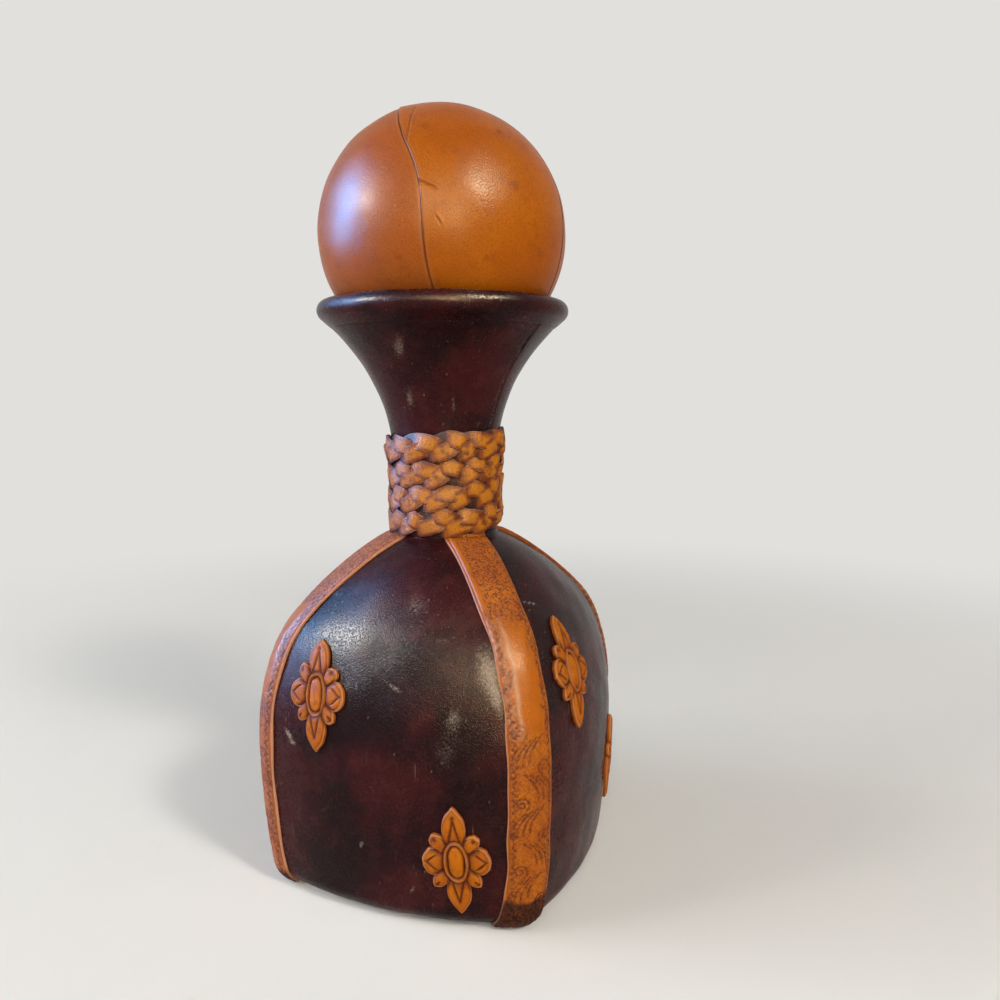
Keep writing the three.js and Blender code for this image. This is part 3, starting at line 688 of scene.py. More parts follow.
def makeBase(form):
    at = stationsAt(np.zeros((1, 1)))
    at.lean = at.lean * 0
    bevel, soften = form["round"], form["soften"]
    outline = [(bevel, 0), (soften, soften), (0, bevel), (0, body.baseProud + body.leather)]
    rings = []
    for inset, height in outline:
        ring = roundBody(at, form["columns"], -form["inset"] - inset)[0]
        ring[:, 2] = height * mm
        rings.append(ring)
    addRings("pad_of_base", rings, False, "base_leather", "bottle", "base_pad")


makeBase(baseForm)


# Neck cover with a lapped seam, and the rolled binding of the lip

neckForm = {
    "rows": 150, "segments": 288, "backEvery": 6, "wave": 19, "waveDepth": 0.09,
    "seamAngle": -18, "seamTwist": 5, "lapRise": 0.32, "lapReach": 5, "groove": 0.45, "grooveDepth": 0.3,
    "seamRub": 0.35, "seamRubWidth": 0.5, "hemGap": 0.1, "hemDrop": 0.14, "hemReach": 0.8,
    "front": -67, "frontSpread": 1.4,       # scuffs are counted from there, at that many neck radii
}
lipForm = {
    "outer": 5.0, "outerRows": 16, "inner": 16, "innerRows": 26, "lipRows": 34, "backEvery": 4,
    "swell": 0.12, "wave": 23, "waveDepth": 0.1, "hemDrop": 0.14, "hemRound": 0.5, "hemProud": 0.08,
    "hemAt": 2.6, "hemWidth": 1.6, "rub": 0.22, "rubAt": 0.42, "rubWidth": 4, "rubWave": 14,
}
neckScuffs = [
    (-13.5, 207, 9, 2.4, 75, 0.46), (-15.5, 188, 7, 2.4, 85, 0.46), (-16.5, 219, 4.5, 0.5, -50, 0.75),
    (4, 186, 8, 0.8, 95, 0.4), (18, 178, 6, 1.4, 60, 0.32), (60, 190, 10, 2.2, 80, 0.3),
    (100, 182, 9, 2.2, 100, 0.3), (-70, 190, 10, 2.0, 75, 0.3),
]
bindingStart = neck.flareAngle - lipForm["outer"] / neck.flareRadius
roundAngle = np.linspace(0, fullTurn, neckForm["segments"], endpoint=False)[None, :]


def makeNeck(form):
    low = tubeLength + body.seam
    high = flareLength + (bindingStart - form["hemGap"] / neck.flareRadius) * neck.flareRadius
    lengths = np.linspace(low, high, form["rows"])[:, None]
    at = stationsAt(lengths)
    share = (lengths - low) / (high - low)

    def skin(depth):
        return turned(at.halfWidth + depth * np.cos(at.lean), at.height + depth * np.sin(at.lean), roundAngle)

    seam = (form["seamAngle"] + form["seamTwist"] * share) * degree
    aside = wrapped(roundAngle - seam) * at.halfWidth       # mm past the seam
    lap = np.where(aside > 0, form["lapRise"] * np.exp(-aside / form["lapReach"]), 0)
    groove = near(aside, form["groove"]) * form["grooveDepth"]
    waves = ripple(turned(at.halfWidth, at.height, roundAngle) / mm, form["wave"], 11) * form["waveDepth"]
    hem = form["hemDrop"] * smooth(1 - (high - lengths) / form["hemReach"])
    outer = skin(lap + waves * smooth(share * 8) - groove - hem)
    inner = skin(-body.leather)[::form["backEvery"]]
    across = wrapped(roundAngle - form["front"] * degree) * body.neckRadius * form["frontSpread"]
    scuff = scuffed(across, lengths, neckScuffs, neckPart)
    scuff = scuff + form["seamRub"] * near(aside, form["seamRubWidth"])
    rings = np.concatenate([outer, inner[::-1]])
    addRings("neck_skin", rings, True, "dark_leather", "bottle", "neck_cover", {"scuff": scuff})


def makeLip(form):
    innerEnd = neck.flareAngle - form["inner"] / (neck.flareRadius + 2 * neck.lipDepth)
    outerTurn = np.linspace(bindingStart, neck.flareAngle, form["outerRows"])
    lipTurn = np.linspace(0, math.pi, form["lipRows"])[1:]
    innerTurn = np.linspace(neck.flareAngle, innerEnd, form["innerRows"])[1:]

    def layer(depth):
        return np.concatenate([flarePoint(outerTurn, depth), lipPoint(lipTurn, neck.lipDepth - depth),
                               flarePoint(innerTurn, 2 * neck.lipDepth - depth)])

    def spun(outline):
        return turned(outline[..., :1], outline[..., 1:], roundAngle)

    skin = layer(0)
    away = skin - layer(1.0)                                # outward, a millimetre long
    run = np.concatenate([[0], np.cumsum(np.hypot(*np.diff(skin, axis=0).T))])[:, None]
    hem = 2 - smooth(run / form["hemRound"]) - smooth((run[-1] - run) / form["hemRound"])
    waves = form["waveDepth"] * ripple(spun(skin) / mm, form["wave"], 12)
    proud = form["hemProud"] * near(run - form["hemAt"], form["hemWidth"])
    rise = form["swell"] + waves - form["hemDrop"] * hem + proud
    outer = turned(skin[:, :1] + away[:, :1] * rise, skin[:, 1:] + away[:, 1:] * rise, roundAngle)
    inner = spun(layer(body.leather)[::-1][::form["backEvery"]])
    patchy = 0.5 + 0.5 * ripple(spun(skin) / mm, form["rubWave"], 13)
    rub = form["rub"] * near(run - run[-1] * form["rubAt"], form["rubWidth"]) * patchy
    marks = {"scuff": np.clip(rub, 0, 1)}
    rings = np.concatenate([outer, inner])
    addRings("rolled_lip", rings, True, "dark_leather", "bottle", "lip_binding", marks)


makeNeck(neckForm)
makeLip(lipForm)
print("base, neck and lip made")


# Corner straps, tooled with a running scroll on a stippled ground

strapForm = {
    "width": 17.3, "thickness": 1.7, "seat": 0.05, "footRise": 0.15, "slideUp": 15,
    "wobble": 0.22, "wobbleWave": 21, "footFade": 2.6, "paleFrom": 70, "paleFade": 40,
    "tuckIn": 12, "flat": 6, "skive": 8, "skived": 0.2,             # its end under the collar
    "rows": 620, "columns": 62, "kept": 9, "rolled": 0.75, "rollReach": 2.4, "foldUnder": 0.1,
    # the cut edge from outside in: place, drop and paleness
    "edgeIn": [0, 0, 0.08, 0.3], "edgeDrop": [0, 0.35, 0.1, 0], "edgePale": [0.9, 0.9, 1, 0.4],
    # a value for each corner
    # the third list darkens the first strap's edges as painted shade
    "footSlide": [1.2, -1.0, 0.8, -3.0], "aside": [3.5, 0, -1.4, 0], "edgeShade": [1, 0, 0, 0],
    # the last list is fading, and on the left strap also a painted reflection
    "scrollStart": [5, 13, 9, 0], "footDarkening": [10.5, 9, 4, 11.2], "fadeAndSheen": [0.1, 0.2, 0.6, 0],
    "unit": 25, "scrollOut": 2.7, "scrollIn": 0.5, "scrollTurns": 1.5, "scrollAside": 4.0,
    "veins": 4, "veinGap": 2.0, "veinRun": 4.6, "veinFall": 9.0, "veinBend": 1.3, "pebbledFrom": 112,
    "edgeWave": 2.5, "edgeSwing": 0.5, "edgeAt": 6.35, "border": 7.9, "borderWidth": 0.26,
    "lineWidth": 0.45, "lineDepth": 0.32, "groundDepth": 0.14, "groundFrom": 100,
    "marginAt": -6.4, "marginFrom": 96, "marginFade": 20,
    # rubbed smooth in the middle
    "plainLow": 70, "plainHigh": 116, "plainFade": 9, "plainHalf": 3.4, "plainAt": 0.2,
    "ridgeAt": -3.4, "ridgeHalf": 0.9, "ridgeRise": 0.16,
}


def scrollWork(form, length):
    along = np.arange(0, length, 0.2)
    wave = fullTurn * along / form["edgeWave"]
    swing = form["edgeSwing"] * np.sin(wave)
    lines = []
    for hand in (-1, 1):                                    # a curling line beside each edge
        lines.append(np.stack([form["edgeAt"] * hand + swing, along + 0.6 * np.sin(2 * wave)], -1))
    rise = form["unit"] / 2
    share = np.linspace(0, 1, 90)
    radius = lerp(form["scrollOut"], form["scrollIn"], share ** 0.85)
    turn = (share * form["scrollTurns"] * 360 - 60) * degree
    for half in range(int(length / rise) + 1):
        way = 1 if half % 2 == 0 else -1                    # leaves sweep down to the right, then to the left
        middle = (half + 0.5) * rise
        for vein in range(form["veins"]):
            x = (vein - 1.6) * form["veinGap"] + form["veinRun"] * share
            x = x + form["veinBend"] * np.sin(math.pi * share)
            y = middle + form["veinFall"] * (0.5 - share) - 0.5 * vein
            lines.append(np.stack([way * x, y], -1))
        x = -way * (form["scrollAside"] - radius * np.cos(turn))
        lines.append(np.stack([x, middle - rise / 2 + radius * np.sin(turn)], -1))
    return np.concatenate(lines)


def scrollTree(form, length):
    work = scrollWork(form, length)
    tree = kdtree.KDTree(len(work))
    for index, (x, y) in enumerate(work):
        tree.insert((x, y, 0), index)
    tree.balance()
    return tree


def strapSection(form):     # places across, the drop of the skin there and the paleness of the cut
    half = form["width"] / 2
    edgeIn = np.array(form["edgeIn"])
    across = np.linspace(edgeIn[-1] - half, half - edgeIn[-1], form["columns"])
    across = np.concatenate([edgeIn[:-1] - half, across, half - edgeIn[-2::-1]])
    drop = form["rolled"] * smooth((np.abs(across) - half + form["rollReach"]) / form["rollReach"]) ** 1.6
    cut = np.zeros(len(across))
    for place, (fall, pale) in enumerate(zip(form["edgeDrop"], form["edgePale"])):
        drop[[place, -1 - place]] += fall
        cut[[place, -1 - place]] = pale
    drop[[0, -1]] = form["thickness"] - form["foldUnder"]
    return across, drop, cut


def overCorner(at, places, offsets, corner):
    first = onBody(at, at.half - np.abs(places), offsets, corner)
    second = onBody(at, np.abs(places) - at.half, offsets, corner + 1)
    return np.where((places <= 0)[..., None], first, second)


def makeStrap(corner, form, at, along, tree):
    across, drop, cut = strapSection(form)
    half = form["width"] / 2
    edgeShade = form["edgeShade"][corner]
    line = np.concatenate([along, along * 0], 1)
    wander = form["wobble"] * ripple(line, form["wobbleWave"], 30 + corner)[:, None]
    place = across + wander * np.abs(across) / half
    seat = place + form["aside"][corner] + form["footSlide"][corner] * smooth(1 - along / form["slideUp"])
    spots = np.stack(np.broadcast_arrays(place, along + form["scrollStart"][corner]), -1)
    aside = np.abs(place)

    def uneven(length, seed):
        return ripple(spots, length, seed + corner)

    # tooled lines, fainter in places, and the stippled ground
    distance = np.array([tree.find((x, y, 0))[2] for x, y in spots.reshape(-1, 2)]).reshape(spots.shape[:2])
    inside = smooth((form["border"] - aside) / 0.5 + 0.3)
    faint = lerp(0.6, 1.0, smooth(0.5 + 0.8 * uneven(5, 35)))
    faint = faint * (1 - smooth((along - form["pebbledFrom"]) / 8))
    groove = near(distance, form["lineWidth"]) * inside * faint
    groove = np.clip(groove + 0.7 * near(aside - form["border"], form["borderWidth"]), 0, 1)
    margin = smooth((place - form["marginAt"]) / 1.2)
    margin = np.clip(margin + 1 - smooth((along - form["marginFrom"]) / form["marginFade"]), 0, 1)
    ground = inside * margin * lerp(0.55, 1.0, smooth((along - form["groundFrom"]) / 20))

    # the smooth middle, with a ridge along it; the ridge and the strip beside it are painted pale, partly as
    # rubbed wear and partly as a painted highlight
    plain = smooth((along - form["plainLow"]) / form["plainFade"])
    plain = plain * smooth((form["plainHigh"] - along) / form["plainFade"])
    plainEdge = form["plainHalf"] + 0.9 * uneven(9, 40)
    rub = plain * (1 - smooth((np.abs(place - form["plainAt"]) - plainEdge) / 1.8))
    wavy = form["ridgeAt"] + 0.3 * uneven(9, 60)
    ridge = plain * near(place - wavy, form["ridgeHalf"])
    # pale strip beside the ridge: partly rubbed wear, partly a painted highlight
    beside = 0.4 * plain * smooth(wavy - place + 0.5) * smooth(0.5 + 0.9 * uneven(3, 64))

    # darker towards the foot, and the pale cut edges, which on the first strap are darkened instead as
    # painted shade
    # darker towards the foot, over a length given for each corner
    stain = form["footDarkening"][corner] + 1.2 * (place / half) ** 2 + 0.4 * uneven(6, 50)
    foot = 1 - smooth((along - stain) / form["footFade"])
    # painted shade along the edges of the first strap
    dark = edgeShade * np.maximum(cut, near(aside - half, 1.4))
    pale = cut * lerp(1.0, 0.5, smooth((along - form["paleFrom"]) / form["paleFade"]))
    pale = pale * (1 - 0.5 * foot) * (1 - edgeShade)
    # the ridge and the strip beside it painted pale: partly rubbed wear, partly a painted highlight
    pale = np.maximum(pale, np.maximum(0.75 * ridge, beside))

    depth = (groove * form["lineDepth"] + ground * form["groundDepth"]) * (1 - rub)
    depth = depth - form["ridgeRise"] * ridge
    depth[:, :3] = 0
    depth[:, -3:] = 0
    thin = lerp(form["skived"], 1.0, smooth((along[-1] - along - form["flat"]) / form["skive"]))
    skin = overCorner(at, seat, form["seat"] + (form["thickness"] - drop - depth) * thin, corner)
    back = overCorner(at, seat[:, evenly(len(across), form["kept"])], form["seat"], corner)
    marks = {"groove": np.maximum(groove * (1 - cut), dark), "ground": ground * (1 - cut), "rub": rub,
             "cut": pale, "foot": foot, "fadeAndSheen": np.full(rub.shape, form["fadeAndSheen"][corner])}
    number = corner + 1
    addSheet(f"strap_{number}", skin, back, "strap_leather", "bottle", f"corner_strap_{number}", marks)


def makeStraps(form):
    tuck = math.asin((edgeHeight - form["footRise"]) / (body.bottomRound + form["thickness"] + body.bond))
    low = edgeLength + body.bottomRound * (90 * degree - tuck)
    lengths = np.linspace(low, filletLength + form["tuckIn"], form["rows"])[:, None]
    along = lengths - low
    tree = scrollTree(form, float(along[-1, 0]) + form["unit"])
    for corner in range(4):
        makeStrap(corner, form, stationsAt(lengths), along, tree)


makeStraps(strapForm)
print("tooled straps made")


# Medallions: pressed leaves and lobes round an oval boss

medallionForm = {
    "length": 41.2, "width": 24.4, "thickness": 1.5, "valley": 8.6, "seat": 0.05, "uneven": 0.032,
    "sideAngle": 34, "smallAngle": 16, "smallReach": 12.7, "leafSharpness": 0.61,
    "sidePoints": 46, "smallPoints": 30, "leafPoints": 48, "innerRows": 30, "outerRows": 26,
    "bossLength": 15.6, "bossWidth": 8.8, "bossRing": 0.6, "bossGroove": 1.5, "bossEdge": 1.9,
    "bossRise": 0.66, "ringRise": 0.55, "crownRise": 0.42, "grooveDepth": 0.5,
    # pressed lines, measured out from the middle
    "veeFrom": 8.0, "veeRun": 7.8, "veeHalf": 1.9, "veeEnd": 16.4, "leafDot": 16.8,
    "arrowAt": 10.4, "arrowHalf": 3.1, "strokeFrom": 9.2, "strokeTo": 12.0, "smallDot": 10.7,
    # the rim's rows going out: inset, drop and paleness of the cut
    "rimInset": [0.75, 0.45, 0.2, 0.05, 0.0, 0.0], "rimDrop": [0.05, 0.13, 0.27, 0.5, 0.8, 1.42],
    "rimPale": [0.25, 0.8, 0.8, 0.25, 0, 0],
    "upper": {"along": -25.7, "height": 81.6, "turn": -2},
    "lower": {"along": 28.3, "height": 28.3, "turn": 5}, "sideRaise": 6,
    # laid by hand: turn and shift of the upper one, then of the lower one
    "handLaid": {"right": ((-8, 2.5), (3, -3)), "back": ((2, 0.6), (-3, 0)),
                 "left": ((-3, 0), (2, -0.6)), "front": ((5.3, 0), (-2.2, 0.6))},
}


def medallionOutline(form):     # round it: angle, reach, share of a lobe, and the lobe's middle and kind
    leafAngle = 90 - form["sideAngle"] - 2 * form["smallAngle"]
    lobes = {"side": (form["sideAngle"], form["width"] / 2, form["sidePoints"]),
             "small": (form["smallAngle"], form["smallReach"], form["smallPoints"]),
             "leaf": (leafAngle, form["length"] / 2, form["leafPoints"])}
    middle = -form["sideAngle"]
    rows = []
    kinds = []
    for kind in ("side", "small", "leaf", "small") * 2:
        half, reach, count = lobes[kind]
        middle += half
        share = np.linspace(-1, 1, count, endpoint=False)
        share = lerp(share, np.sin(share * math.pi / 2), 0.4)
        bump = np.sqrt(1 - share ** 2)
        if kind == "leaf":
            bump = (1 - np.abs(share)) ** form["leafSharpness"]
        elif kind == "small" and middle > 180:              # the lower small lobes are pointed
            bump = lerp(bump, (1 - np.abs(share)) ** 0.7, 0.45)
        angle = (middle + share * half) * degree
        rows.append([angle, lerp(form["valley"], reach, bump), share, np.full(count, middle * degree)])
        kinds += [kind] * count
        middle += half
    angle, reach, share, middle = (row[None, :] for row in np.concatenate(rows, 1))
    return angle, reach, share, middle, np.array(kinds)[None, :]


def medallionRelief(form):
    angle, reach, share, middle, kind = medallionOutline(form)
    oval = 1 / np.hypot(np.cos(angle) / (form["bossWidth"] / 2), np.sin(angle) / (form["bossLength"] / 2))
    start, end = 1.04 * oval, reach - 1.1
    inner = np.linspace(0.02, 1.04, form["innerRows"])[:, None] * oval
    outer = start + np.linspace(0, 1, form["outerRows"])[1:, None] * (np.maximum(end, start + 0.1) - start)
    rim = [np.maximum(reach - inset, start + 0.12 + 0.02 * row) for row, inset in enumerate(form["rimInset"])]
    radius = np.concatenate([inner, outer, *rim])
    drop, cut = np.zeros((2, len(radius), 1))
    drop[-len(rim):, 0] = form["rimDrop"]
    cut[-len(rim):, 0] = form["rimPale"]
    inset = oval - radius                                   # inside the boss, from its edge
    aside = radius * np.sin(angle - middle)
    out = radius * np.cos(angle - middle)
    beyond = smooth((radius / oval - 1.0) / 0.08)
    boss = form["bossRise"] * np.sqrt(np.clip(1 - (radius / (oval - form["bossEdge"])) ** 2, 0, 1))
    ring = near(inset - form["bossRing"], 0.5)
    raised = boss + form["ringRise"] * ring - 0.2 * near(inset - form["bossGroove"], 0.35)
    crown = beyond * form["crownRise"] * np.sqrt(np.clip(1 - np.abs(share) ** 2.4, 0, 1))
    crown = crown * smooth((reach - radius) / 2.5)
    groove = near(inset - form["bossGroove"], 0.52) + near(inset + 0.35, 0.5)
    between = near((1 - np.abs(share)) * radius * 0.35, 0.62) * beyond * smooth((reach - radius) / 0.7)

    # a vee and a dot on the leaves, an arrow on the side lobes, a dot or a stroke on the small ones
    leaf, sideways, small = (beyond * (kind == name) for name in ("leaf", "side", "small"))
    above = middle < math.pi
    vee = form["veeHalf"] * (1 - np.clip((out - form["veeFrom"]) / form["veeRun"], 0, 1))
    vein = leaf * near(np.abs(aside) - vee, 0.46) * smooth(form["veeEnd"] - out)
    vein = vein + leaf * near(np.hypot(aside, out - form["leafDot"]), 0.7) * above
    arrow = sideways * near(out + 1.15 * np.abs(aside) - form["arrowAt"], 0.58)
    vein = vein + arrow * smooth((form["arrowHalf"] - np.abs(aside)) / 0.6)
    stroke = near(aside, 0.45) * smooth((out - form["strokeFrom"]) / 0.5)
    stroke = stroke * smooth((form["strokeTo"] - out) / 0.6)
    vein = vein + small * np.where(above, near(np.hypot(aside, out - form["smallDot"]), 0.75), stroke)

    outline = 0.28 * near(reach - radius - 1.25, 0.36) * beyond
    wall = smooth((drop - 0.3) / 0.3)
    # painted shade in the valleys between lobes, the pressed lines, the outline, round the boss and on the
    # walls
    shade = np.clip(1.3 * (between + vein + outline) + near(inset + 0.6, 1.6) * beyond + wall, 0, 1)
    groove = np.clip(groove + between + vein + outline, 0, 1)
    height = form["thickness"] + raised * (1 - beyond) + crown - form["grooveDepth"] * groove - drop
    height[-1] = form["thickness"] - form["rimDrop"][-1]
    rimMark = np.clip(ring * (1 - beyond) + 0.4 * smooth(1 - (reach - radius)) * (1 - wall), 0, 1)
    marks = {"groove": groove * (1 - cut), "rim": rimMark, "cut": cut + 0 * groove, "shade": shade}
    return angle + 0 * radius, radius, height, marks


def makeMedallion(face, level, form, relief):
    angle, radius, height, marks = relief
    name = faceNames[face]
    number = ("upper", "lower").index(level)
    seed = face * 2 + number
    spot = form[level]
    extraTurn, shift = form["handLaid"][name][number]
    turn = (spot["turn"] + extraTurn) * degree
    raised = form["sideRaise"] if face % 2 == 0 else 0
    circle = np.stack([np.cos(angle), np.sin(angle)], -1) * form["length"] / 4
    ragged = ripple(circle, 8, 20 + seed) + 0.3 * ripple(circle, 2.8, 80 + seed)
    reach = radius * (1 + form["uneven"] * ragged * smooth(radius / 9))
    at = stationsAt(lengthAt(spot["height"] + raised, bodyPart) + reach * np.sin(angle + turn))
    points = onBody(at, spot["along"] + shift + reach * np.cos(angle + turn), form["seat"] + height, face)
    node = f"medallion_{name}_{level}"
    addRings(f"pressed_{node}", points, False, "medallion_leather", "bottle", node, marks)


relief = medallionRelief(medallionForm)
for face in range(4):
    for level in ("upper", "lower"):
        makeMedallion(face, level, medallionForm, relief)
print("pressed medallions made")


# Plaited collar: three thongs over and under each other, wound round the neck as one band

plaitForm = {"Turns": 3.5, "Level": 0.25, "Band": 9.6, "Gap": 0.2, "Start": -157, "Periods": 15, "Steps": 900,
             "Thong": 6.7, "Thickness": 1.3, "Swing": 2.6, "Lift": 0.75, "Roll": -0.1,
             "Slip": 0.8, "Bunch": 0.6, "Stretch": 0.3, "Twist": 0.32, "Lump": 17}
plaitLengths = ("Band", "Gap", "Thong", "Thickness", "Swing", "Lift", "Slip",
                "Foot", "Flare Start", "Flare Radius", "Flare Centre")


def newShape(name, inputs):
    group = bpy.data.node_groups.new(name, "GeometryNodeTree")
    group.interface.new_socket("Geometry", in_out="OUTPUT", socket_type="NodeSocketGeometry")
    for label in inputs:
        group.interface.new_socket(label, in_out="INPUT", socket_type="NodeSocketFloat")
    tree = Tree(group)
    source = tree.add("NodeGroupInput")
    return tree, {label: source.other(label) for label in inputs}


def plaitShape(values):
    tree, size = newShape("plait", values)

    def point(x, y, z):
        return tree.add("ShaderNodeCombineXYZ", None, {"X": x, "Y": y, "Z": z})

    def store(curve, name, value):
        kind = {"data_type": "FLOAT", "domain": "POINT"}
        values = {"Geometry": curve, "Name": name, "Value": value}
        return tree.add("GeometryNodeStoreNamedAttribute", kind, values)

    def uneven(number):     # a slow wave from -1 to 1, another for each thong
        place = share * size["Periods"] * 1.7 + size["Strand"] * 31 + size["Lump"] + number * 7.3
        wave = {"W": place, "Scale": 1.0, "Detail": 1.0}
        return (tree.add("ShaderNodeTexNoise", {"noise_dimensions": "1D"}, wave) - 0.5) * 2.6

    # the band: its low and high edges, which run level at both ends
    line = tree.add("GeometryNodeCurvePrimitiveLine")
    path = tree.add("GeometryNodeResampleCurve", None, {"Curve": line, "Count": size["Steps"]})
    share = tree.add("GeometryNodeInputIndex") / (size["Steps"] - 1)
    pitch = size["Band"] + size["Gap"]
    turn = share * size["Turns"]
    rise = pitch * (turn - size["Level"])
    low = size["Foot"] + rise.atLeast(0)
    high = size["Foot"] + size["Band"] + rise.atMost(pitch * (size["Turns"] - size["Level"] * 2))
    fill = (high - low) / size["Band"]

    # a thong's way through the band
    phase = (share * size["Periods"] + size["Strand"] / 3) * fullTurn + uneven(0) * size["Bunch"]
    height = (low + high) * 0.5 + size["Swing"] * fill * phase.sine() + uneven(1) * size["Slip"]
    climb = (high - size["Flare Start"]).atLeast(0)
    skin = size["Flare Centre"] - (size["Flare Radius"] ** 2 - climb ** 2) ** 0.5
    wave = (phase * 2).sine()
    over = 1 - wave * (1.2 - wave * wave * 0.2)             # level where it lies on top or below
    radius = skin + size["Thickness"] * 0.5 + size["Lift"] * over
    angle = size["Start"] + turn * fullTurn
    spot = point(radius * angle.cosine(), radius * angle.sine(), height)
    tilt = size["Roll"] * phase.sine() + uneven(2) * size["Twist"]
    wide = fill * (0.9 + over * 0.07 + uneven(3) * size["Stretch"] * 0.5)
    path = tree.add("GeometryNodeSetPosition", None, {"Geometry": path, "Position": spot})
    away = {"Curve": path, "Normal": point(angle.cosine(), angle.sine(), 0.0)}
    path = tree.add("GeometryNodeSetCurveNormal", {"mode": "FREE"}, away)
    path = tree.add("GeometryNodeSetCurveTilt", None, {"Curve": path, "Tilt": tilt})
    path = tree.add("GeometryNodeSetCurveRadius", None, {"Curve": path, "Radius": wide})
    # how far under the others the thong lies, for its painted shade
    path = store(path, "under", 1 - over * 0.5)

    # its flat section
    circle = {"Resolution": 22, "Radius": 1.0}
    section = tree.add("GeometryNodeCurvePrimitiveCircle", {"mode": "RADIUS"}, circle)
    across = tree.add("ShaderNodeSeparateXYZ", None, {"Vector": tree.add("GeometryNodeInputPosition")}, "X")
    section = store(section, "across", across)
    thick = across.other("Y")
    thick = thick.sign() * thick.size() ** 0.3 * size["Thickness"] * 0.5
    place = point(thick, across * size["Thong"] * 0.5, 0.0)
    section = tree.add("GeometryNodeSetPosition", None, {"Geometry": section, "Position": place})
    sweep = {"Curve": path, "Profile Curve": section, "Fill Caps": True}
    thong = tree.add("GeometryNodeCurveToMesh", None, sweep)
    thong = tree.add("GeometryNodeRealizeInstances", None, {"Geometry": thong})
    finish = {"Geometry": thong, "Material": finishes["plait_leather"]}
    thong = tree.add("GeometryNodeSetMaterial", None, finish)
    tree.add("NodeGroupOutput", None, {"Geometry": thong})
    return tree.tree


def grow(group, values):
    holder = bpy.data.objects.new(group.name, bpy.data.meshes.new(group.name))
    scene.collection.objects.link(holder)
    modifier = holder.modifiers.new(group.name, "NODES")
    modifier.node_group = group
    for item in group.interface.items_tree:
        if item.in_out == "INPUT":
            modifier[item.identifier] = float(values[item.name])
    depsgraph = bpy.context.evaluated_depsgraph_get()
    mesh = bpy.data.meshes.new_from_object(holder.evaluated_get(depsgraph), depsgraph=depsgraph)
    holder.modifiers.remove(modifier)
    bpy.data.objects.remove(holder)
    return mesh


def makePlait(form):
    values = {**form, "Foot": neck.foot + body.bond, "Flare Start": neck.flareStart,
              "Flare Radius": neck.flareRadius, "Flare Centre": neck.flareCentre, "Strand": 0}
    for name in plaitLengths:
        values[name] *= mm
    values["Start"] *= degree
    group = plaitShape(values)
    for strand in range(3):
        values["Strand"] = strand
        number = strand + 1
        mesh = grow(group, values)
        dressPiece(f"thong_{number}", mesh, "plait_leather", "bottle", f"plait_strand_{number}")


makePlait(plaitForm)
print("plaited collar made")


# Ball stopper: four gores over a wooden core, and a cork

ballForm = {
    "radius": 48.45, "thickness": 1.6, "seamAngle": -76, "tilt": 16, "tiltAxis": -67,
    "rows": 250, "columns": 150, "kept": 11,
    "seamGap": 0.08, "seamRound": 0.6, "seamDrop": 0.3, "lapRise": 0.5, "lapReach": 2.6,
    "wave": 24, "waveDepth": 0.12, "wobble": 0.3, "sway": 38, "aged": [0.0, 0.3, 0.2, 0.6],
    # each seam: turn, bulge, polar angle of the bulge, its width, drift to the foot
    "seams": [(0, 3.3, 70, 22, -5), (-9, 1.5, 60, 25, -3), (2, -2.0, 80, 30, 3), (-3, 2.0, 65, 25, 2)],
    # on the first gore, by polar angle and angle past the seam: creases with width and depth,
    # and stains with a radius
    "creases": [((75.4, 3.9), (80.4, 9.4), 0.36, 0.45), ((91.4, 6.4), (94.1, 7.1), 0.32, 0.3),
                ((30, 15.4), (55, 3.0), 0.3, 0.2)],
    "stains": [(60, 51.5, 1.7), (60.3, 60, 1.4), (63, 56, 0.8), (83, 20, 0.5)],
}
corkForm = {"seat": 13, "taper": 0.03, "sunk": 12, "chamfer": 1.5, "pegRadius": 5, "pegLength": 44,
            "middle": 0.4, "dent": 0.1, "dentSize": 4.2,
            "segments": 96, "wallRows": 60, "floorRows": 10, "cornerRows": 8}


def seatBall(form):     # height of its centre, where it rests on the flare or else on the lip
    flank = form["radius"] + neck.flareRadius + 2 * neck.lipDepth + body.bond
    flank = math.sqrt(flank ** 2 - neck.flareCentre ** 2)
    if math.atan2(flank, neck.flareCentre) <= neck.flareAngle:
        return neck.flareStart + flank
    return neck.lipHeight + math.sqrt((form["radius"] + neck.lipDepth + body.bond) ** 2 - neck.lipRadius ** 2)


ballHeight = seatBall(ballForm)
corkTop = ballHeight - ballForm["radius"] + corkForm["sunk"]
tiltAngle = ballForm["tiltAxis"] * degree
tiltAxis = Vector((math.cos(tiltAngle), math.sin(tiltAngle), 0))
ballTilt = np.array(Matrix.Rotation(ballForm["tilt"] * degree, 3, tiltAxis))


def corkRadius(height):
    bore = body.neckRadius - body.leather - body.bond - body.glass
    return bore - body.bond + corkForm["taper"] * (height - neck.flareStart)


def onBall(polar, azimuth):     # a way out from the centre
    flat = np.sin(polar)
    ways = np.stack(np.broadcast_arrays(flat * np.cos(azimuth), flat * np.sin(azimuth), np.cos(polar)), -1)
    return ways @ ballTilt.T


def holeEdge(azimuth, radius):      # polar angle of the hole that the cork goes through
    hole = corkRadius(corkTop) + body.bond
    low, high = np.full(azimuth.shape, 100 * degree), np.full(azimuth.shape, math.pi)
    for _ in range(40):
        middle = (low + high) / 2
        way = onBall(middle, azimuth) * radius
        outside = np.hypot(way[..., 0], way[..., 1]) > hole
        low, high = np.where(outside, middle, low), np.where(outside, high, middle)
    return low


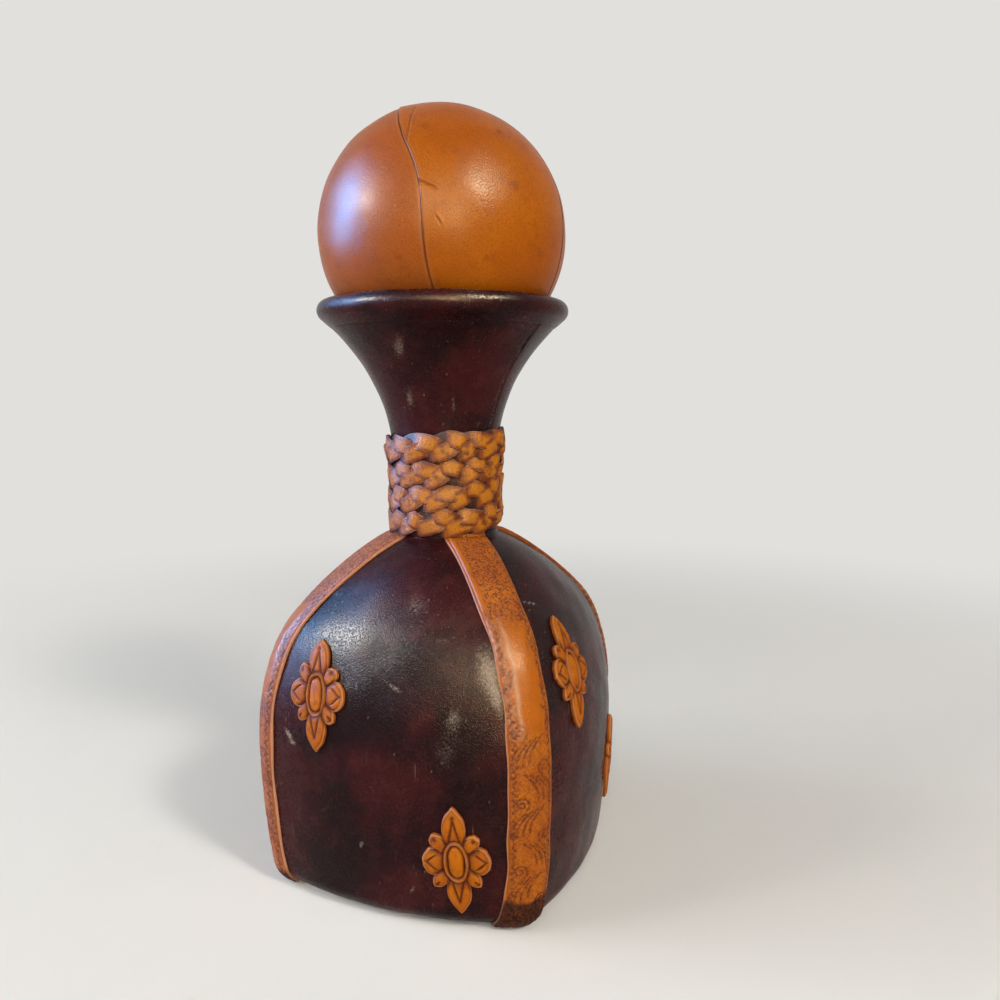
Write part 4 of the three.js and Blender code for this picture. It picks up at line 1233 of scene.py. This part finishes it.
def seamLine(form, polar, number):
    turn, bulge, middle, width, drift = form["seams"][number % 4]
    waves = ripple(np.stack([polar * form["radius"], polar * 0], -1), form["sway"], 60 + number % 4)
    sway = bulge * near(polar - middle * degree, width * degree)
    sway = turn + sway + drift * smooth((polar - 82 * degree) / (40 * degree))
    sway = sway * degree + form["wobble"] / form["radius"] * waves
    return (form["seamAngle"] + number * 90) * degree + sway * np.minimum(1, 1.6 * np.sin(polar))


def goreGrid(form, quarter, radius, shares):    # polar angles and azimuths between two seams
    foot = np.full(shares.shape, 150 * degree)
    hole = holeEdge(lerp(seamLine(form, foot, quarter), seamLine(form, foot, quarter + 1), shares), radius)
    tip = math.asin(form["seamGap"] * math.sqrt(2) / form["radius"])
    polar = lerp(tip, hole, np.linspace(0, 1, form["rows"])[:, None])
    inset = np.arcsin(np.minimum(0.7, form["seamGap"] / (form["radius"] * np.sin(polar))))
    first, last = seamLine(form, polar, quarter) + inset, seamLine(form, polar, quarter + 1) - inset
    return polar, lerp(first, last, shares)


def ballSpot(form, polar, past):     # millimetres past the first seam and down from the crown
    return past * degree * form["radius"] * math.sin(polar * degree), polar * degree * form["radius"]


def strokeOff(x, y, start, end):     # distance from a short stroke, and the signed distance from its line
    right, down = end[0] - start[0], end[1] - start[1]
    length = math.hypot(right, down)
    run = ((x - start[0]) * right + (y - start[1]) * down) / length
    side = ((y - start[1]) * right - (x - start[0]) * down) / length
    return np.hypot(side, np.maximum(np.maximum(-run, run - length), 0)), side


def makeGore(quarter, form):
    share = np.linspace(0, 1, form["columns"])
    share = lerp(share, 0.5 - 0.5 * np.cos(share * math.pi), 0.8)[None, :]
    polar, azimuth = goreGrid(form, quarter, form["radius"], share)
    flat = form["radius"] * np.sin(polar)
    first = (azimuth - seamLine(form, polar, quarter)) * flat
    last = (seamLine(form, polar, quarter + 1) - azimuth) * flat
    nearest = np.minimum(first, last)
    lap = form["lapRise"] * np.exp(-first / form["lapReach"]) * (0.3 + 0.9 * smooth(1.35 - polar))
    turnedIn = form["seamDrop"] * np.exp(-nearest / form["seamRound"] * 2)
    ways = onBall(polar, azimuth)
    waves = form["waveDepth"] * ripple(ways * form["radius"], form["wave"], 70 + quarter)
    lift = waves * smooth(nearest / 3) + lap - turnedIn
    seam = near(first, 0.26) + 0.8 * near(last, 0.22)
    crest = 0.55 * near(first - 1.0, 0.5) + 0.5 * near(last - 0.9, 0.5)
    stain = 0.35 * np.exp(-nearest / 1.1)
    if quarter == 0:
        past = (azimuth - form["seamAngle"] * degree) * flat
        deep = polar * form["radius"]
        for start, end, width, depth in form["creases"]:
            off, side = strokeOff(past, deep, ballSpot(form, *start), ballSpot(form, *end))
            # each crease is darker along its line as painted shade, and paler along its raised side as a
            # painted highlight
            lift = lift - depth * near(off, width) + 0.7 * depth * near(side + 0.8, 0.45) * near(off, 1.3)
            seam = seam + 0.6 * near(off, width)
            crest = crest + 0.9 * near(side + 0.7, 0.4) * near(off, 1.2)
        for spotPolar, spotPast, radius in form["stains"]:
            x, y = ballSpot(form, spotPolar, spotPast)
            stain = stain + 0.7 * near(np.hypot(past - x, (deep - y) * 1.5), radius)
    backRadius = form["radius"] - form["thickness"]
    backWays = onBall(*goreGrid(form, quarter, backRadius, share[:, evenly(form["columns"], form["kept"])]))
    centre = [0, 0, ballHeight]
    skin = (ways * (form["radius"] + lift)[..., None] + centre) * mm
    back = (backWays * backRadius + centre) * mm
    marks = {"seam": seam, "crest": crest, "stain": stain, "aged": np.full(seam.shape, form["aged"][quarter])}
    marks = {mark: np.clip(values, 0, 1) for mark, values in marks.items()}
    number = quarter + 1
    addSheet(f"gore_{number}", skin, back, "ball_leather", "stopper", f"stopper_gore_{number}", marks)


def makeCork(form):
    foot = neck.flareStart - form["seat"]
    footRadius = corkRadius(foot)
    pegHole = corkTop - form["pegLength"] / 2 - body.bond
    pegWide = form["pegRadius"] + body.bond
    flat = np.linspace(form["middle"], footRadius - form["chamfer"] - 1, form["floorRows"])
    turn = np.linspace(0, 90 * degree, form["cornerRows"])
    corner = [footRadius - form["chamfer"] * (1 - np.sin(turn)), foot + form["chamfer"] * (1 - np.cos(turn))]
    wallHeight = np.linspace(foot + form["chamfer"] + 1, corkTop, form["wallRows"])
    bore = [[pegWide, pegWide, form["middle"]], [corkTop, pegHole, pegHole]]
    parts = [[flat, np.full(len(flat), foot)], corner, [corkRadius(wallHeight), wallHeight], bore]
    radius, height = (row[:, None] for row in np.concatenate([np.array(part) for part in parts], 1))
    angle = np.linspace(0, fullTurn, form["segments"], endpoint=False)[None, :]
    dent = form["dent"] * (ripple(turned(radius, height, angle) / mm, form["dentSize"], 90) - 1)
    dent[[0, -3, -2, -1]] = 0
    addRings("cork_plug", turned(radius + dent, height, angle), False, "cork", "stopper", "stopper_cork")


for quarter in range(4):
    makeGore(quarter, ballForm)
makeCork(corkForm)
for name in ("stopper_core", "stopper_peg"):
    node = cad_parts[name]
    if not node.material_slots:
        node.data.materials.append(finishes["turned_wood"])
    for place in node.material_slots:
        place.material = finishes["turned_wood"]
print("stopper made")


# Camera at the photograph's angle, with heading, pitch and roll in radians

cameraForm = {"place": (0.13556, -0.31648, 0.19006), "lens": 30.33,
              "heading": -0.3401, "pitch": 0.1263, "roll": 0.0044}


def addCamera(form):
    heading, pitch, roll = form["heading"], form["pitch"], form["roll"]
    flat = math.cos(pitch)
    ahead = Vector((math.sin(heading) * flat, math.cos(heading) * flat, -math.sin(pitch)))
    level = Vector((math.cos(heading), -math.sin(heading), 0))
    upright = level.cross(ahead)
    right = level * math.cos(roll) - upright * math.sin(roll)
    up = upright * math.cos(roll) + level * math.sin(roll)
    data = bpy.data.cameras.new("camera")
    data.lens = form["lens"]
    camera = bpy.data.objects.new("camera", data)
    axes = Matrix((right, up, -ahead)).transposed().to_4x4()
    camera.matrix_world = Matrix.Translation(form["place"]) @ axes
    scene.collection.objects.link(camera)
    scene.camera = camera
    return right, up, -ahead


viewAxes = addCamera(cameraForm)


# Floor, soft lamps and a pale room, in metres

stageForm = {"floor": 7.0, "floorSides": 96, "floorColour": (0.84, 0.825, 0.80),
             "fadeFrom": 0.16, "fadeTo": 0.8,
             "pale": (0.76, 0.745, 0.72), "fill": 0.3, "target": (0, 0, 0.15)}
# each lamp lights by its power in a plain tint, and shows in the gloss by its sheen in a colour;
# its way is right, up and toward the camera
lamps = {
    "window": {"way": (-0.92, 0.37, 0.01), "far": 1.25, "wide": 0.46, "tall": 0.75,
               "tint": (0.80, 0.90, 1.0), "power": 7, "colour": (0.15, 0.45, 1.0), "sheen": 250},
    "leftSoft": {"way": (-0.84, 0.41, 0.39), "far": 1.3, "wide": 0.22, "tall": 0.22,
                 "tint": (1.0, 0.97, 0.93), "power": 4, "colour": (1.0, 0.93, 0.80), "sheen": 80},
    "keySoft": {"way": (0.53, 0.56, 0.64), "far": 1.3, "wide": 0.2, "tall": 0.2,
                "tint": (1.0, 0.96, 0.90), "power": 8, "colour": (1.0, 0.84, 0.56), "sheen": 108},
    "frontSoft": {"way": (0.21, 0.12, 0.97), "far": 1.5, "wide": 0.16, "tall": 0.6,
                  "tint": (1.0, 0.96, 0.90), "power": 4, "colour": (1.0, 0.66, 0.32), "sheen": 96},
    "stripSoft": {"way": (-0.13, 0.34, 0.93), "far": 1.5, "wide": 0.2, "tall": 0.6,
                  "tint": (1.0, 0.96, 0.90), "power": 4, "colour": (1.0, 0.76, 0.48), "sheen": 54},
}


def addLamp(name, form):
    way = sum((axis * share for axis, share in zip(viewAxes, form["way"])), Vector((0, 0, 0))).normalized()
    for kind, colour in (("power", "tint"), ("sheen", "colour")):
        data = bpy.data.lights.new(f"{name}_{kind}", "AREA")
        data.shape = "RECTANGLE"
        data.size = form["wide"]
        data.size_y = form["tall"]
        data.color = form[colour]
        data.energy = form[kind]
        lamp = bpy.data.objects.new(data.name, data)
        lamp.location = Vector(stageForm["target"]) + way * form["far"]
        lamp.rotation_euler = (-way).to_track_quat("-Z", "Y").to_euler()
        lamp.visible_camera = False
        lamp.visible_diffuse = kind == "power"
        lamp.visible_glossy = kind == "sheen"
        scene.collection.objects.link(lamp)


def seenDirectly(tree):     # 1 for what the camera sees, straight or in gloss or glass
    ray = tree.add("ShaderNodeLightPath", output="Is Camera Ray")
    return (ray + ray.other("Is Glossy Ray") + ray.other("Is Transmission Ray")).atMost(1)


def paleFloor(tree, place, look):   # takes shadows near the object and fades into the room
    far = tree.add("ShaderNodeVectorMath", {"operation": "LENGTH"}, {0: place}, "Value")
    fade = tree.ease(far, look["fadeFrom"], look["fadeTo"]) * seenDirectly(tree)
    matt = tree.add("ShaderNodeBsdfDiffuse", None, {"Color": look["floorColour"]})
    glow = tree.add("ShaderNodeEmission", None, {"Color": look["pale"], "Strength": 1.0})
    return tree.add("ShaderNodeMixShader", None, {0: fade, 1: matt, 2: glow})


def addRoom(form):
    world = bpy.data.worlds.new("room")
    scene.world = world
    world.use_nodes = True
    world.node_tree.nodes.clear()
    tree = Tree(world.node_tree)
    strength = form["fill"] + seenDirectly(tree) * (1 - form["fill"])
    shade = tree.add("ShaderNodeBackground", None, {"Color": form["pale"], "Strength": strength})
    tree.add("ShaderNodeOutputWorld", None, {"Surface": shade})
    angle = np.linspace(0, fullTurn, form["floorSides"], endpoint=False)
    rim = np.stack([form["floor"] * np.cos(angle), form["floor"] * np.sin(angle), 0 * angle], -1)
    mesh = bpy.data.meshes.new("floor")
    mesh.from_pydata(rim.tolist(), [], [list(range(form["floorSides"]))])
    mesh.materials.append(makeFinish("floor", paleFloor, form))
    floor = bpy.data.objects.new("floor", mesh)
    scene.collection.objects.link(floor)


for name, form in lamps.items():
    addLamp(name, form)
addRoom(stageForm)
print("camera, floor and lamps set")
